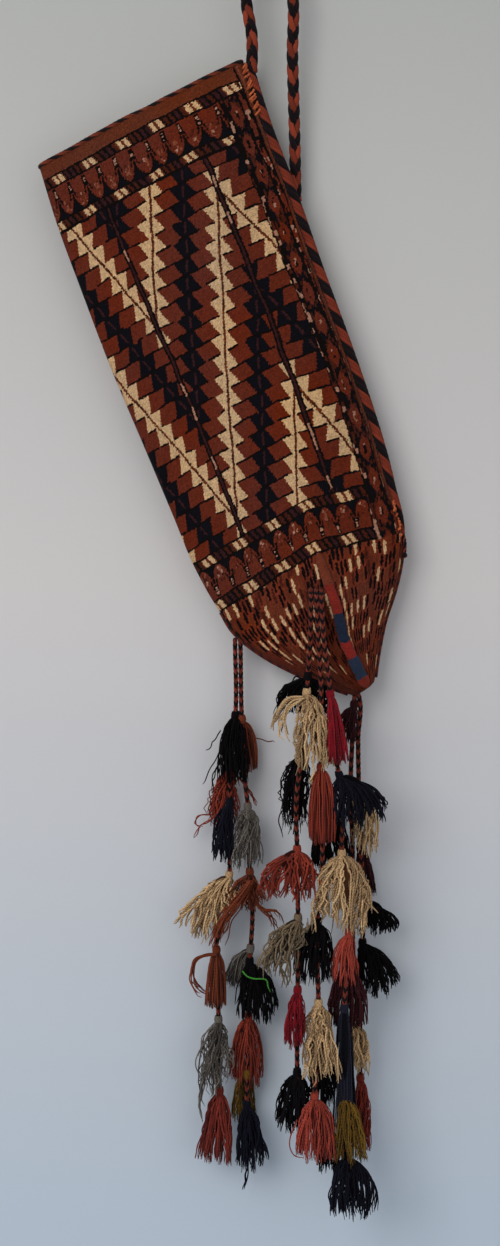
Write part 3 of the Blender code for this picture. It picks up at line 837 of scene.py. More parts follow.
    def side_border(self) -> tuple[Field, Field]:
        """The upright border beside the right seam.

        Returns:
            The yarn's number and the mask.
        """
        t, x = self.t, self.s - SIDE_BORDER
        first = self.chance(t.cell(5.0), x.cell(2.4))
        yarn = first.below(0.16).choose(Yarn.PALE, Yarn.BLACK).lay(Yarn.DARK, first.above(0.72))
        along = (t / 31.0).part()
        half = ((along - 0.5).size() * -17.0 + 7.4).math("MINIMUM", 5.2)
        from_middle = (x - 12.6).size()
        blot = self.chance(t.cell(4.0), x.cell(2.0))
        main = blot.above(0.6).choose(Yarn.DARK, Yarn.BLACK).lay(Yarn.NAVY, blot.below(0.3))
        main = main.lay(Yarn.RUST, from_middle.below(half))
        eye = from_middle.below(1.3) * along.between(0.36, 0.64)
        main = main.lay(Yarn.BLACK, eye * blot.above(0.4)).lay(Yarn.PALE, eye * blot.below(0.22))
        last = self.chance(t.cell(4.5), x.cell(2.4))
        tail = last.above(0.86).choose(Yarn.PALE, Yarn.RUST).lay(Yarn.BLACK, last.below(0.34))
        yarn = yarn.lay(main, x.between(5.4, 19.4)).lay(tail, x.above(20.4))
        lines = x.below(1.4).either(x.between(5.0, 6.2)).either(x.between(19.2, 20.6))
        mask = x.above(0.0) * t.between(self.guard_starts[0] + self.guard_width, self.tube_end)
        return yarn.lay(Yarn.BLACK, lines.either(x.above(26.2))), mask

    def hem(self) -> tuple[Yarn, Field]:
        """The plain hem above the first stripe."""
        return Yarn.HEM, self.t.below(self.guard_starts[0])

    def plain_edge(self) -> tuple[Field, Field]:
        """The plain strip between the side border and the seam, with one light line.

        Returns:
            The yarn's number and the mask.
        """
        x = self.s - self.side_end
        strip = x.between(3.6, 4.6).choose(Yarn.ORANGE, Yarn.HEM)
        return strip.lay(Yarn.BLACK, x.below(1.2)), x.above(0.0)

    def flaps(self) -> tuple[Field, Field]:
        """The flaps: columns of short dashes that draw together toward the point.

        Returns:
            The yarn's number and the mask.
        """
        s, down = self.s, self.t - self.tube_end
        column, x = s.cell(5.3), (s / 5.3).part()
        shifted = (self.t + self.chance(column, column) * 44.0) / 12.5
        dash, y = shifted.floor(), shifted.part()
        pick = self.chance(column, dash)
        shape = (x - 0.5 + (y - 0.5) * 0.4).size() + (y - 0.5).size() * 0.28
        shape = shape.below(0.36) * y.between(0.05, 0.95)
        kind = pick + ((down - 92.0) / 110.0).positive()
        second = (column * 0.5).part().below(0.25)
        yarn = kind.below(0.64).choose(Yarn.BLACK, Yarn.HEM).lay(Yarn.CREAM, kind.below(0.34) * second)
        yarn = yarn.lay(Yarn.DARK, pick.above(0.86))
        warm = self.chance(s.cell(9.4), self.t.cell(60.0)).above(0.7)
        yarn = warm.choose(Yarn.RUST, Yarn.BRICK).lay(yarn, shape)
        plain = s.below((down - 40.0) * 0.14) * down.above(48.0)
        return yarn.lay(Yarn.RUST, plain), down.above(0.0)

    def colour(self, yarn: Field, place: object) -> None:
        """Turns the yarn's number into a colour that varies from knot to knot.

        Args:
            yarn: the yarn's number.
            place: where the cloth is read.
        """
        stops = [(kind.number / len(Yarn), kind.value) for kind in Yarn]
        colour = self.steps(yarn / float(len(Yarn)) + 0.01, stops)
        knot = self.chance(self.s, self.t)
        dye, fibre = self.noise(place, 9.0, 3.0), self.noise(place, 900.0)
        value = knot * 0.54 + dye * 0.44 + fibre * 0.60 + 0.09
        self.fill(self.out, Colour=self.varied(colour, value, dye * 0.3 + 0.88),
                  Height=knot * 0.5 + fibre * 0.5)


@dataclass(frozen=True)
class WoolFinish:
    """A yarn of one wool: its darkest and lightest colours and how it is plied."""

    deep: tuple[int, int, int]
    light: tuple[int, int, int]
    turns: float = 160.0
    bump: float = 0.8
    sheen: float = 0.06


class Wool(Enum):
    """The wools of the tassels."""

    BLACK = WoolFinish((2, 1, 2), (20, 15, 18), sheen=0.01)
    NAVY = WoolFinish((3, 3, 7), (26, 26, 40), sheen=0.02)
    CREAM = WoolFinish((72, 42, 24), (255, 212, 156), sheen=0.08)
    TERRACOTTA = WoolFinish((46, 10, 8), (184, 72, 50))
    BRICK = WoolFinish((46, 12, 10), (160, 60, 46))
    CORAL = WoolFinish((66, 15, 12), (208, 84, 64), sheen=0.08)
    CRIMSON = WoolFinish((42, 3, 9), (174, 26, 40))
    MAROON = WoolFinish((16, 4, 7), (72, 25, 29), sheen=0.04)
    BROWN = WoolFinish((44, 16, 9), (160, 76, 46))
    GREY = WoolFinish((33, 30, 28), (142, 131, 120))
    TAUPE = WoolFinish((42, 33, 24), (164, 140, 110))
    OLIVE = WoolFinish((34, 24, 5), (140, 102, 30))
    SLATE = WoolFinish((8, 8, 14), (42, 43, 59), sheen=0.04)
    GREEN = WoolFinish((40, 112, 32), (92, 176, 66), sheen=0.05)


class Paint(Bench):
    """A bench on a new material with its Principled shader."""

    def __init__(self, name: str) -> None:
        """Starts the material.

        Args:
            name: the material's name.
        """
        self.material = bpy.data.materials.new(name)
        self.material.use_nodes = True
        super().__init__(self.material.node_tree)
        self.shader = self.tree.nodes["Principled BSDF"]
        self.fill(self.shader, Roughness=0.92, Specular_IOR_Level=0.08)

    def finish(self, colour: object, height: object, strength: float, relief: float,
               sheen: float = 0.0, sheen_roughness: float = 0.5) -> bpy.types.Material:
        """Gives the shader its colour, its bump and the sheen of loose fibres.

        Args:
            colour: the colour's socket.
            height: the height that the bump is made from.
            strength: how strong the bump is.
            relief: how high it is, in metres.
            sheen: the sheen's weight.
            sheen_roughness: the sheen's roughness.

        Returns:
            The material.
        """
        bump = self.node("ShaderNodeBump", Height=height, Strength=strength, Distance=relief)
        self.fill(self.shader, Base_Color=colour, Normal=bump.outputs[0], Sheen_Weight=sheen,
                  Sheen_Roughness=sheen_roughness)
        return self.material


class Dyer:
    """Makes every material once and hands it out again."""

    roll_length = 0.18
    roll_ground = (116, 52, 32)
    roll_bands = ((0.034, (132, 38, 28)), (0.066, (30, 38, 56)), (0.096, (138, 38, 30)),
                  (0.116, (40, 50, 70)), (0.141, (126, 42, 28)))
    painted_light_band = 0.65

    def __init__(self) -> None:
        """Builds the groups that several materials share."""
        self.weave = Weave().tree
        self.lay = self.yarn_lay()
        self.tone = self.wool_tone()
        self.made: dict[str, bpy.types.Material] = {}

    @staticmethod
    def yarn_lay() -> bpy.types.NodeTree:
        """The twist and the loose fibres of a yarn, on its own UV map, with painted shade in the grooves of
        the twist.

        Returns:
            The node group.
        """
        group = GroupBench("yarn lay", {"Place": "Vector", "Turns": "Float"},
                           {"Height": "Float", "Hollow": "Float"})
        round_it, along, _ = group.parts(group.given["Place"])
        twist = ((round_it + along * group.given["Turns"]) * (4.0 * math.pi)).wave()
        fibre = group.noise(group.at(round_it * 6.0, along * 1400.0), 1.0)
        # painted shade: the second output makes the grooves of the twist darker where it colours the wool
        group.fill(group.out, Height=twist * 0.7 + fibre * 0.5, Hollow=twist * 0.6 + fibre * 0.4)
        return group.tree

    @staticmethod
    def wool_tone() -> bpy.types.NodeTree:
        """The colour of dyed wool, which varies at random from yarn to yarn and over each yarn, with painted
        shade that darkens the grooves of the twist.

        Returns:
            The node group.
        """
        group = GroupBench("wool tone", {"Place": "Vector", "Deep": "Color", "Light": "Color",
                                         "Shade": "Float", "Hollow": "Float"}, {"Colour": "Color"})
        given = group.given
        patch = group.noise(given["Place"], 60.0, 3.0)
        # painted shade: the grooves of the twist pull the colour toward the deep one, beside the random tone
        # of strand and patch
        shade = Field(group, given["Shade"]) * 0.6 + patch * 0.35 + Field(group, given["Hollow"]) * 0.4
        group.fill(group.out, Colour=group.mix(given["Deep"], given["Light"], (shade - 0.22).clamped()))
        return group.tree

    def cloth(self, name: str, veil: tuple[int, int, int], share: float, relief: float) -> bpy.types.Material:
        """A side of the cloth.

        Args:
            name: the material's name.
            veil: the colour of the threads that lie over the pattern.
            share: how much they hide it.
            relief: the height of the weave's bump in metres.

        Returns:
            The material.
        """
        paint = Paint(name)
        pattern = paint.group(self.weave, Place=paint.uv())
        colour = pattern["Colour"]
        if share > 0.0:
            colour = paint.mix(colour, srgb(*veil), share)
        return paint.finish(colour, pattern["Height"], 1.0, relief, 0.015)

    def yarn(self, name: str, *wools: WoolFinish) -> bpy.types.Material:
        """A yarn of one wool, or of two that the tint of each strand tells apart.

        Args:
            name: the material's name.
            wools: the wool of tint 0 and, if there are two, that of tint 1.

        Returns:
            The material.
        """
        if name not in self.made:
            self.made[name] = self.new_yarn(name, wools)
        return self.made[name]

    def new_yarn(self, name: str, wools: tuple[WoolFinish, ...]) -> bpy.types.Material:
        """Makes a yarn's material, with the ply of its first wool.

        Args:
            name: the material's name.
            wools: one wool or two.

        Returns:
            The material.
        """
        paint, first = Paint(name), wools[0]
        lay = paint.group(self.lay, Place=paint.uv(), Turns=first.turns)
        shared = {"Place": paint.place(), "Shade": paint.attribute("shade"), "Hollow": lay["Hollow"]}
        colours = [paint.group(self.tone, Deep=srgb(*wool.deep), Light=srgb(*wool.light), **shared)["Colour"]
                   for wool in wools]
        colour = colours[0] if len(colours) == 1 else paint.mix(*colours, paint.attribute("tint"))
        return paint.finish(colour, lay["Height"], first.bump, 0.0006, first.sheen, 0.45)

    def seam_roll(self) -> bpy.types.Material:
        """The padded roll over the front seam: stretches of rust, red and blue, worked crosswise, with
        painted shade in the grooves between the wraps.

        Returns:
            The material.
        """
        paint = Paint("seam roll wool")
        place = paint.place()
        ragged = paint.noise(place, 260.0) * 0.006 + paint.parts(paint.uv())[1] - 0.003
        stops = [(run / self.roll_length, colour) for run, colour in self.roll_bands]
        colour = paint.steps(ragged / self.roll_length, [(0.0, self.roll_ground), *stops])
        thread = (ragged * 3900.0).wave()
        fibre = paint.noise(place, 700.0, 3.0)
        # painted shade: the thread wave makes the grooves between the wraps darker, as well as bumping them
        value = thread * 0.16 + fibre * 0.6 + paint.noise(place, 90.0) * 0.5 + 0.36
        return paint.finish(paint.varied(colour, value), thread * 0.3 + fibre * 0.9, 1.0, 0.0014, 0.05)

    def wall(self) -> bpy.types.Material:
        """The pale painted wall and floor, clear when seen from behind, with painted light: bluer toward the
        floor and greyer toward the top.

        Returns:
            The material.
        """
        paint = Paint("pale plaster")
        place = paint.place()
        # painted light: the colour turns bluer toward the floor and greyer toward the top, as the light on
        # the wall falls off
        height = paint.parts(place)[2] / self.painted_light_band
        pale = paint.mix(srgb(194, 204, 214), srgb(211, 205, 202), (height + 2.0).clamped())
        pale = paint.mix(pale, srgb(183, 183, 178), (height + 1.0).clamped())
        material = paint.finish(pale, paint.noise(place, 240.0, 3.0), 0.06, 0.001)
        choose = paint.node("ShaderNodeMixShader")
        paint.feed(choose.inputs[0], paint.node("ShaderNodeNewGeometry").outputs["Backfacing"])
        paint.feed(choose.inputs[1], paint.shader.outputs[0])
        paint.feed(choose.inputs[2], paint.node("ShaderNodeBsdfTransparent").outputs[0])
        paint.fill(paint.tree.nodes["Material Output"], Surface=choose.outputs[0])
        return material


def declare(obj: bpy.types.Object, body: str, slot: str, node: str = "") -> None:
    """Puts a piece on its body, hides the solid it replaces, if any, and logs its slot.

    Args:
        obj: the piece.
        body: the body it rides on.
        slot: the slot that its finish comes from.
        node: the node it replaces, if any.
    """
    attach(obj, body)
    if node:
        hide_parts(node)
    LOG.info("%s: %s, rides on %s", obj.name, slot, body)


class RopeLook(Enum):
    """The ways in which strands are laid together."""

    PLAITED = "plaited"
    TWISTED = "twisted"


@dataclass(frozen=True)
class RopeMaker:
    """Lays strands round a middle line, one for each tint.

    The strands of a twisted rope turn round it at a radius. Those of a plaited one swing from side to
    side by the radius and cross over and under by the lift, which makes a row of arrow shapes.
    """

    look: RopeLook
    tints: tuple[int, ...]
    pitch: float
    radius: float
    half_width: float
    half_depth: float
    lift: float = 0.0
    left_handed: bool = False
    steps_per_pitch: int = 16
    sides: int = 6

    def make(self, name: str, route: np.ndarray, seed: int, material: bpy.types.Material,
             **laid: object) -> bpy.types.Object:
        """Makes a piece that is nothing but this rope.

        Args:
            name: the object's name.
            route: the middle line, close enough together to be smooth.
            seed: what the shades are drawn from.
            material: its finish.
            laid: closed or fullness, as in lay.

        Returns:
            The object.
        """
        yarns = YarnMesh()
        self.lay(yarns, route, seed, **laid)
        return yarns.build(name, material)

    def lay(self, yarns: YarnMesh, route: np.ndarray, seed: int, closed: bool = False,
            fullness: tuple[float, ...] = (1.0,)) -> None:
        """Lays the strands along a route.

        Args:
            yarns: the mesh that takes them.
            route: the middle line.
            seed: what the shades are drawn from.
            closed: whether the route runs back into its own start.
            fullness: the share of its full thickness that the rope has, evenly along the route.
        """
        if closed:
            route = np.vstack((route, route[:1]))
        turns = path_runs(route)[-1] / self.pitch
        count = max(8, int(round(turns * self.steps_per_pitch)))
        middle = even_points(route, count + 1)
        if closed:
            turns, middle = round(turns), middle[:-1]
        ahead = headings(middle, closed)
        first = unit(np.cross(ahead, TOWARD_WALL))
        second = np.cross(ahead, first)
        strand = np.arange(len(self.tints))[:, None] / len(self.tints)
        turn = 2.0 * np.pi * (turns * np.arange(len(middle)) / count + strand)
        if self.left_handed:
            turn = -turn
        full = np.interp(np.linspace(0.0, 1.0, len(middle)), np.linspace(0.0, 1.0, len(fullness)), fullness)
        sine, cosine = np.sin(turn), np.cos(turn)
        if self.look is RopeLook.PLAITED:
            aside = self.radius * sine
            deep = self.lift * (0.75 * cosine - np.sin(2.0 * turn))
            outward = second + first * sine[..., None] * 0.6
        else:
            aside, deep = self.radius * cosine, self.radius * sine
            outward = cosine[..., None] * first + sine[..., None] * second
        centres = middle + (aside * full)[..., None] * first + (deep * full)[..., None] * second
        shades = np.random.default_rng(seed).uniform(0.2, 1.0, len(self.tints))
        yarns.add(centres, outward, self.half_width * full, self.half_depth * full, self.sides, shades,
                  np.array(self.tints, float), closed)


@dataclass
class WovenBag:
    """The cloth of the bag with its edges and seams."""

    sizes: BagSizes
    dyer: Dyer
    back_columns: int = 50
    left_columns: int = 56
    right_columns: int = 42
    crowding: float = 1.35
    row_step: float = 0.0032
    seam_strip: float = 0.0038
    point_drop: float = 0.004

    def __post_init__(self) -> None:
        """Shapes the bag."""
        self.form = BagForm(self.sizes)

    def make(self) -> None:
        """Makes all pieces of the bag."""
        points, pattern = self.grid()
        cloth = self.make_cloth(points, pattern)
        declare(cloth, "bag", "rust_pile", "pile_bag")
        declare(self.make_mouth_edge(points[0]), "bag", "edge_cord", "mouth_binding")
        for corner in ("left", "right", "back"):
            declare(self.make_thin_seam(corner), "bag", "seam_wool", f"{corner}_seam_roll")
        declare(self.make_front_roll(), "bag", "seam_wool", "front_seam_roll")

    def knots_across(self, along: np.ndarray, u: np.ndarray, right_u: np.ndarray) -> np.ndarray:
        """The pattern's knots at places across the front.

        Args:
            along: distances along the tube, one for each row.
            u: places across, rows by columns.
            right_u: the right seam of each row.

        Returns:
            Knots from the left, rows by columns.
        """
        guides = np.array(GUIDE_ROWS)
        width = self.sizes.mouth_width
        marks = smooth_table(guides[:, 0] * self.sizes.tube_length, guides[:, 1:] * width, along)
        first, second, border = (marks[:, k:k + 1] for k in range(3))
        left = FIRST_MIRROR - (first - u) / KNOT * 1.17
        middle = FIRST_MIRROR + (u - first) / (second - first) * (SECOND_MIRROR - FIRST_MIRROR)
        right = SECOND_MIRROR + (u - second) / (border - second) * (SIDE_BORDER - SECOND_MIRROR)
        edge = SIDE_BORDER + (u - border) / KNOT * 1.03
        strip = Weave.side_end + 1.4 + (u - right_u + self.seam_strip) / KNOT
        edge = np.where(u > right_u - self.seam_strip, np.maximum(edge, strip), edge)
        knots = np.where(u < first, left, middle)
        knots = np.where(u > second, right, knots)
        return np.where(u > border, edge, knots)

    def grid(self) -> tuple[np.ndarray, np.ndarray]:
        """The cloth's outer surface.

        Returns:
            World points as rows by columns, which run from the right seam round the back, the left
            fold and the front; and the pattern's (across, along) in metres, with one column more.
        """
        form, sizes = self.form, self.sizes
        along = np.linspace(0.0, form.end, int(form.end / self.row_step))
        down = along[:, None]
        left_u, left_lag, ridge_u, ridge_lag, right_u, right_lag, depth = np.hsplit(form.row(along), 7)
        share = 0.5 + 0.5 * np.cos(np.pi * np.arange(self.back_columns) / self.back_columns)[None]
        u = left_u + (right_u - left_u) * share
        y = form.fold_height(np.minimum(u - left_u, right_u - u)) + sizes.back_bulge * np.sin(np.pi * share)
        panels = [(u, y, down + left_lag + (right_lag - left_lag) * share)]
        for places, seam_u, seam_lag in (
                (np.arange(self.left_columns) / self.left_columns, left_u, left_lag),
                (np.arange(self.right_columns, -1, -1) / self.right_columns, right_u, right_lag)):
            share = (places ** self.crowding)[None]
            u = seam_u + (ridge_u - seam_u) * share
            y = -form.fold_height(np.abs(u - seam_u)) - depth * form.crest_height(share)
            panels.append((u, y, down + seam_lag + (ridge_lag - seam_lag) * share))
        u, y, v = (np.hstack(parts) for parts in zip(*panels))
        front = u[:, self.back_columns:]
        across = self.knots_across(np.minimum(along, sizes.tube_length), front, right_u)
        last = int(np.flatnonzero(along <= sizes.tube_length)[-1])
        across[last:] = self.flap_knots(across[last], front[last:], ridge_u[last:], along[last:])
        behind = across[:, :1] - (u[:, :self.back_columns] - left_u) / KNOT
        across = np.hstack((behind, across)) * KNOT
        y = y + self.ripple(across, down) * np.clip(np.abs(y) / 0.006, 0.0, 1.0)
        pattern = np.stack((across, np.broadcast_to(down, across.shape)), axis=-1)
        return form.placed(u, y, v)[:, :-1], pattern

    def flap_knots(self, last: np.ndarray, front: np.ndarray, ridge: np.ndarray,
                   along: np.ndarray) -> np.ndarray:
        """The pattern's knots in the front flaps, which draw together, though some run out at the seam.

        Args:
            last: the knots of the tube's last row.
            front: places across, rows by columns.
            ridge: the ridge's place in each row.
            along: distances along, one for each row.

        Returns:
            Knots, rows by columns.
        """
        middle = self.left_columns
        steps = np.where(np.arange(front.shape[1]) < middle,
                         (last[middle] - last[0]) / (front[0, middle] - front[0, 0]),
                         (last[-1] - last[middle]) / (front[0, -1] - front[0, middle]))
        straight = last[middle] + (front - ridge) * steps
        share = 0.22 * np.clip((along - along[0]) / 0.03, 0.0, 1.0)[:, None]
        share = share * np.clip((front - front[:, :1]) / 0.02, 0.0, 1.0)
        return last + (straight - last) * share

    @staticmethod
    def ripple(across: np.ndarray, along: np.ndarray) -> np.ndarray:
        """How far in metres the slack cloth stands in or out at a place."""
        turn = 2.0 * np.pi
        return (0.0011 * np.sin(turn * (across / 0.113 + along / 0.31))
                + 0.0009 * np.sin(turn * (along / 0.087 - across / 0.21 + 0.3))
                + 0.0005 * np.sin(turn * (across / 0.047 + along / 0.061 + 0.6)))

    def make_cloth(self, points: np.ndarray, pattern: np.ndarray) -> bpy.types.Object:
        """The woven bag in one piece: an open tube whose four flaps meet in a point.

        Args:
            points: its outer surface, as in grid.
            pattern: the pattern on it.

        Returns:
            The object.
        """
        rows, columns, _ = points.shape
        centre = points[-1].mean(axis=0)
        drop = self.form.along_axis * self.point_drop
        tips = [centre + (points[-1] - centre) * math.cos(turn) + drop * math.sin(turn)
                for turn in (math.pi / 6.0, math.pi / 3.0)]
        points = np.concatenate((points, tips))
        pattern = np.concatenate((pattern, np.repeat(pattern[-1:], 2, axis=0) + np.array((0.0, 0.002))))
        flat = np.vstack((points.reshape(-1, 3), centre + drop))
        number = np.arange(len(flat) - 1).reshape(-1, columns)
        beside = np.roll(number, -1, axis=1)
        quads = np.stack((number[:-1], number[1:], beside[1:], beside[:-1]), axis=-1)
        place = np.stack((pattern[:-1, :-1], pattern[1:, :-1], pattern[1:, 1:], pattern[:-1, 1:]), axis=-2)
        fans = np.stack((number[-1], np.full(columns, len(flat) - 1), beside[-1]), axis=-1)
        fan_place = np.stack((pattern[-1, :-1], pattern[-1, :-1], pattern[-1, 1:]), axis=-2)
        cloth = raw_object("woven_bag", flat, np.concatenate((quads.ravel(), fans.ravel())),
                           np.repeat((4, 3), (quads.size // 4, columns)),
                           np.vstack((place.reshape(-1, 2), fan_place.reshape(-1, 2))))
        self.thicken(cloth, rows, columns)
        return cloth

    def thicken(self, cloth: bpy.types.Object, rows: int, columns: int) -> None:
        """Gives the cloth its thickness, inward, thinner at the point where the flaps meet.

        Args:
            cloth: the outer surface.
            rows: how many rows it has above the point.
            columns: how many columns.
        """
        cloth.data.materials.append(self.dyer.cloth("knotted pile", (255, 255, 255), 0.0, 0.0007))
        cloth.data.materials.append(self.dyer.cloth("woven back", (96, 52, 40), 0.45, 0.0004))
        group = cloth.vertex_groups.new(name="wall")
        for row in range(rows + 2):
            weight = min(max((rows - row) / 24.0, 0.15), 1.0)
            group.add(list(range(row * columns, (row + 1) * columns)), weight, "REPLACE")
        group.add([len(cloth.data.vertices) - 1], 0.15, "REPLACE")
        select_only(cloth)
        bpy.ops.object.mode_set(mode="EDIT")
        bpy.ops.mesh.select_all(action="SELECT")
        bpy.ops.mesh.normals_make_consistent(inside=False)
        bpy.ops.object.mode_set(mode="OBJECT")
        wall = cloth.modifiers.new("wall", "SOLIDIFY")
        wall.thickness = self.sizes.cloth_thickness
        wall.offset = -1.0
        wall.vertex_group = "wall"
        wall.material_offset = 1
        bpy.ops.object.modifier_apply(modifier="wall")

    def make_mouth_edge(self, rim: np.ndarray) -> bpy.types.Object:
        """The overcast edge: a thin two-coloured twist on the rim of the mouth.

        Args:
            rim: the cloth's first row.

        Returns:
            The object.
        """
        inward = unit(rim.mean(axis=0) - rim) * self.sizes.cloth_thickness * 0.5
        inward[:, 0] *= 0.2
        path = rim + inward - self.form.along_axis * (self.sizes.edge * 0.3)
        wools = self.dyer.yarn("edge wools", WoolFinish((84, 34, 24), (150, 70, 46), 400.0),
                               WoolFinish((14, 11, 12), (44, 34, 34)))
        maker = RopeMaker(RopeLook.TWISTED, (0, 0, 1, 1), pitch=0.0200, radius=0.0011, half_width=0.0012,
                          half_depth=0.0012, steps_per_pitch=14)
        return maker.make("mouth_edge", path, 11, wools, closed=True)

    def make_thin_seam(self, corner: str) -> bpy.types.Object:
        """A thin overcast seam between two flaps.

        Args:
            corner: left, right or back.

        Returns:
            The object.
        """
        outward = {"left": -self.form.across_axis, "right": self.form.across_axis, "back": TOWARD_WALL}
        along = np.linspace(self.sizes.tube_length, self.form.end - 0.002, 60)
        rise = np.clip((along - along[0]) / 0.015, 0.0, 1.0)[:, None]
        path = self.form.seam_point(along, corner)
        path = path + outward[corner] * (self.sizes.edge * 0.5 - self.sizes.gap) * rise
        wools = self.dyer.yarn("seam wools", WoolFinish((70, 28, 22), (128, 56, 38), 400.0),
                               WoolFinish((14, 14, 20), (44, 44, 58)))
        maker = RopeMaker(RopeLook.TWISTED, (0, 0, 1, 0), pitch=0.011, radius=0.0007, half_width=0.0009,
                          half_depth=0.0009, steps_per_pitch=14)
        return maker.make(f"{corner}_seam_stitches", path, 17, wools)

    def make_front_roll(self) -> bpy.types.Object:
        """The padded roll over the front seam.

        Returns:
            The object.
        """
        steps = 90
        along = np.linspace(self.sizes.tube_length - 0.001, self.form.end + 0.003, steps)
        path = self.form.seam_point(np.minimum(along, self.form.end), "front")
        beyond = np.maximum(along - self.form.end, 0.0)[:, None]
        share = np.linspace(0.0, 1.0, steps)
        lumps = 1.0 + 0.05 * np.sin(share * 41.0) + 0.04 * np.sin(share * 97.0 + 1.0)
        full = lumps * np.sqrt(np.clip(np.minimum(share / 0.06, (1.0 - share) / 0.05), 0.05, 1.0))
        path = path + beyond * self.form.along_axis - TOWARD_WALL * 0.0024
        yarns = YarnMesh()
        yarns.add(path[None], -TOWARD_WALL, (0.0047 + 0.0016 * share) * full, 0.0036 * full, 24)
        return yarns.build("front_roll", self.dyer.seam_roll())


@dataclass
class RopeWork:
    """The hanging rope, the braid along the right seam and what fastens them."""

    bag: WovenBag
    dyer: Dyer

    def __post_init__(self) -> None:
        """Takes up the bag's form and sizes, and dyes the ropes' two wools."""
        self.form, self.sizes = self.bag.form, self.bag.sizes
        self.wools = self.dyer.yarn("rope wools", WoolFinish((52, 17, 11), (166, 70, 46), 260.0, 1.0),
                                    WoolFinish((6, 4, 5), (32, 22, 24)))

    def make(self) -> None:
        """Makes all ropes."""
        length = self.sizes.tube_length
        self.make_hanging_rope()
        declare(self.make_side_braid(), "bag", "braid_wool", "side_braid")
        declare(self.make_braid_tail(), "bag", "black_wool")
        declare(self.make_stitches("corner_stitches", 0.004, 0.052, 13), "bag", "stitch_wool",
                "corner_whipping")
        declare(self.make_stitches("end_stitches", length - 0.033, length - 0.001, 8), "bag", "stitch_wool",
                "end_whipping")

    def rope_route(self) -> np.ndarray:
        """The hanging rope's route: up from the mouth's right end, over the peg and down behind.

        Returns:
            The route's points.
        """
        sizes = self.sizes
        half = sizes.rope * 0.5
        centre = np.array((0.0, 0.0, half - sizes.loop_radius))
        back = (sizes.braid * 0.5 + half) * 0.94 + sizes.gap
        start = self.form.braid_point(sizes.tube_length * sizes.braid_start)
        start = start - self.form.along_axis * (sizes.gap + half * 0.3)
        route = [start, start + np.array((0.0005, 0.0, 0.034))]
        for step in range(7):
            angle = math.pi * (1.0 - step / 6.0)
            route.append(centre + np.array((math.cos(angle), 0.0, math.sin(angle))) * sizes.loop_radius)
        route.append(np.array((sizes.loop_radius + 0.0016, back * 0.4, -0.090)))
        route.append(np.array((sizes.loop_radius + 0.0036, back, -0.157)))
        route.append(np.array((sizes.loop_radius + 0.0054, back, -0.240)))
        return np.array(route)

    def make_hanging_rope(self) -> None:
        """The braided rope that the bag hangs by."""
        route = self.rope_route()
        maker = RopeMaker(RopeLook.PLAITED, (1, 0, 1, 0), pitch=0.0550, radius=0.0036, half_width=0.0032,
                          half_depth=0.0020, lift=0.0020, steps_per_pitch=44, sides=8)
        rope = maker.make("peg_rope", smooth_points(route, 240), 5, self.wools)
        declare(rope, "bag", "braid_wool", "hanging_rope")
        path = smooth_points(route, 36)

    def braid_shift(self, along: np.ndarray) -> np.ndarray:
        """How much closer to the cloth the braid lies than the middle of its solid, most at its end."""
        share = np.clip((along / self.sizes.tube_length - 0.84) / 0.16, 0.0, 1.0)
        return 0.0013 + 0.0046 * share ** 1.5

    def make_side_braid(self) -> bpy.types.Object:
        """The thick two-coloured braid sewn along the right seam, which thins out at its lower end.

        Returns:
            The object.
        """
        along = np.linspace(0.006, 1.004, 160) * self.sizes.tube_length
        route = self.form.braid_point(along) - self.form.across_axis * self.braid_shift(along)[:, None]
        maker = RopeMaker(RopeLook.TWISTED, (0, 0, 0, 1, 1, 1), pitch=0.0355, radius=0.0033,
                          half_width=0.0021, half_depth=0.002, left_handed=True, steps_per_pitch=30, sides=10)
        return maker.make("seam_braid", route, 6, self.wools, fullness=(1.0,) * 7 + (0.95, 0.55))

    def make_braid_tail(self) -> bpy.types.Object:
        """The braid's thin tail, with a small knot at its end.

        Returns:
            The object.
        """
        length = self.sizes.tube_length
        start = self.form.braid_point(length) - self.form.across_axis * (self.braid_shift(length) - 0.0012)
        down = np.array((0.0008, -0.0060, -0.0235))
        middle = start + down * (0.5, 0.9, 0.5) + (0.0012, 0.0, 0.0)
        maker = RopeMaker(RopeLook.TWISTED, (1, 1, 0), pitch=0.012, radius=0.0009, half_width=0.0010,
                          half_depth=0.0010)
        yarns = YarnMesh()
        maker.lay(yarns, smooth_points(np.array((start, middle, start + down)), 30), 8)
        add_knot(yarns, start + down, 0.0021, 0.0013, 9)
        return yarns.build("braid_tail", self.wools)

    def make_stitches(self, name: str, first: float, last: float, count: int) -> bpy.types.Object:
        """A row of whipping stitches that bind the braid to the cloth.

        Args:
            name: the object's name.
            first: where the row starts along the bag.
            last: where it ends.
            count: how many stitches it has.

        Returns:
            The object.
        """
        form, half = self.form, self.sizes.braid * 0.5
        rng = np.random.default_rng(31)
        lines = []
        for along in np.linspace(first, last, count):
            along = along + rng.uniform(-0.0012, 0.0012)
            row = form.row(np.array([along]))[0]
            bite = 0.0030 + rng.uniform(-0.0010, 0.0022)
            u, v = row[4], along + row[5]
            cloth = form.fold_height(bite) + row[6] * form.crest_height(bite / (u - row[2]))
            middle = u + half + self.sizes.gap * 2.0 - self.braid_shift(along)
            lean = rng.uniform(-0.0055, -0.0015)
            points = ((u - bite, -cloth + 0.0008, v - lean),
                      (u - bite * 0.4, -cloth - 0.0006, v - lean * 0.6),
                      (middle - half * 0.62, -half * 0.8 - 0.0010, v),
                      (middle - half * 0.34, -half * 0.94 - 0.0004, v + lean * 0.5))
            lines.append(smooth_points(np.array([form.placed(*point) for point in points]), 16))
        yarns = YarnMesh()
        yarns.add(np.array(lines), -TOWARD_WALL + 0.2, 0.0012, 0.0008, 6, rng.uniform(0.1, 1.0, count))
        return yarns.build(name, self.dyer.yarn(
            "stitch wool", WoolFinish((128, 50, 26), (216, 112, 62), 300.0, sheen=0.08)))


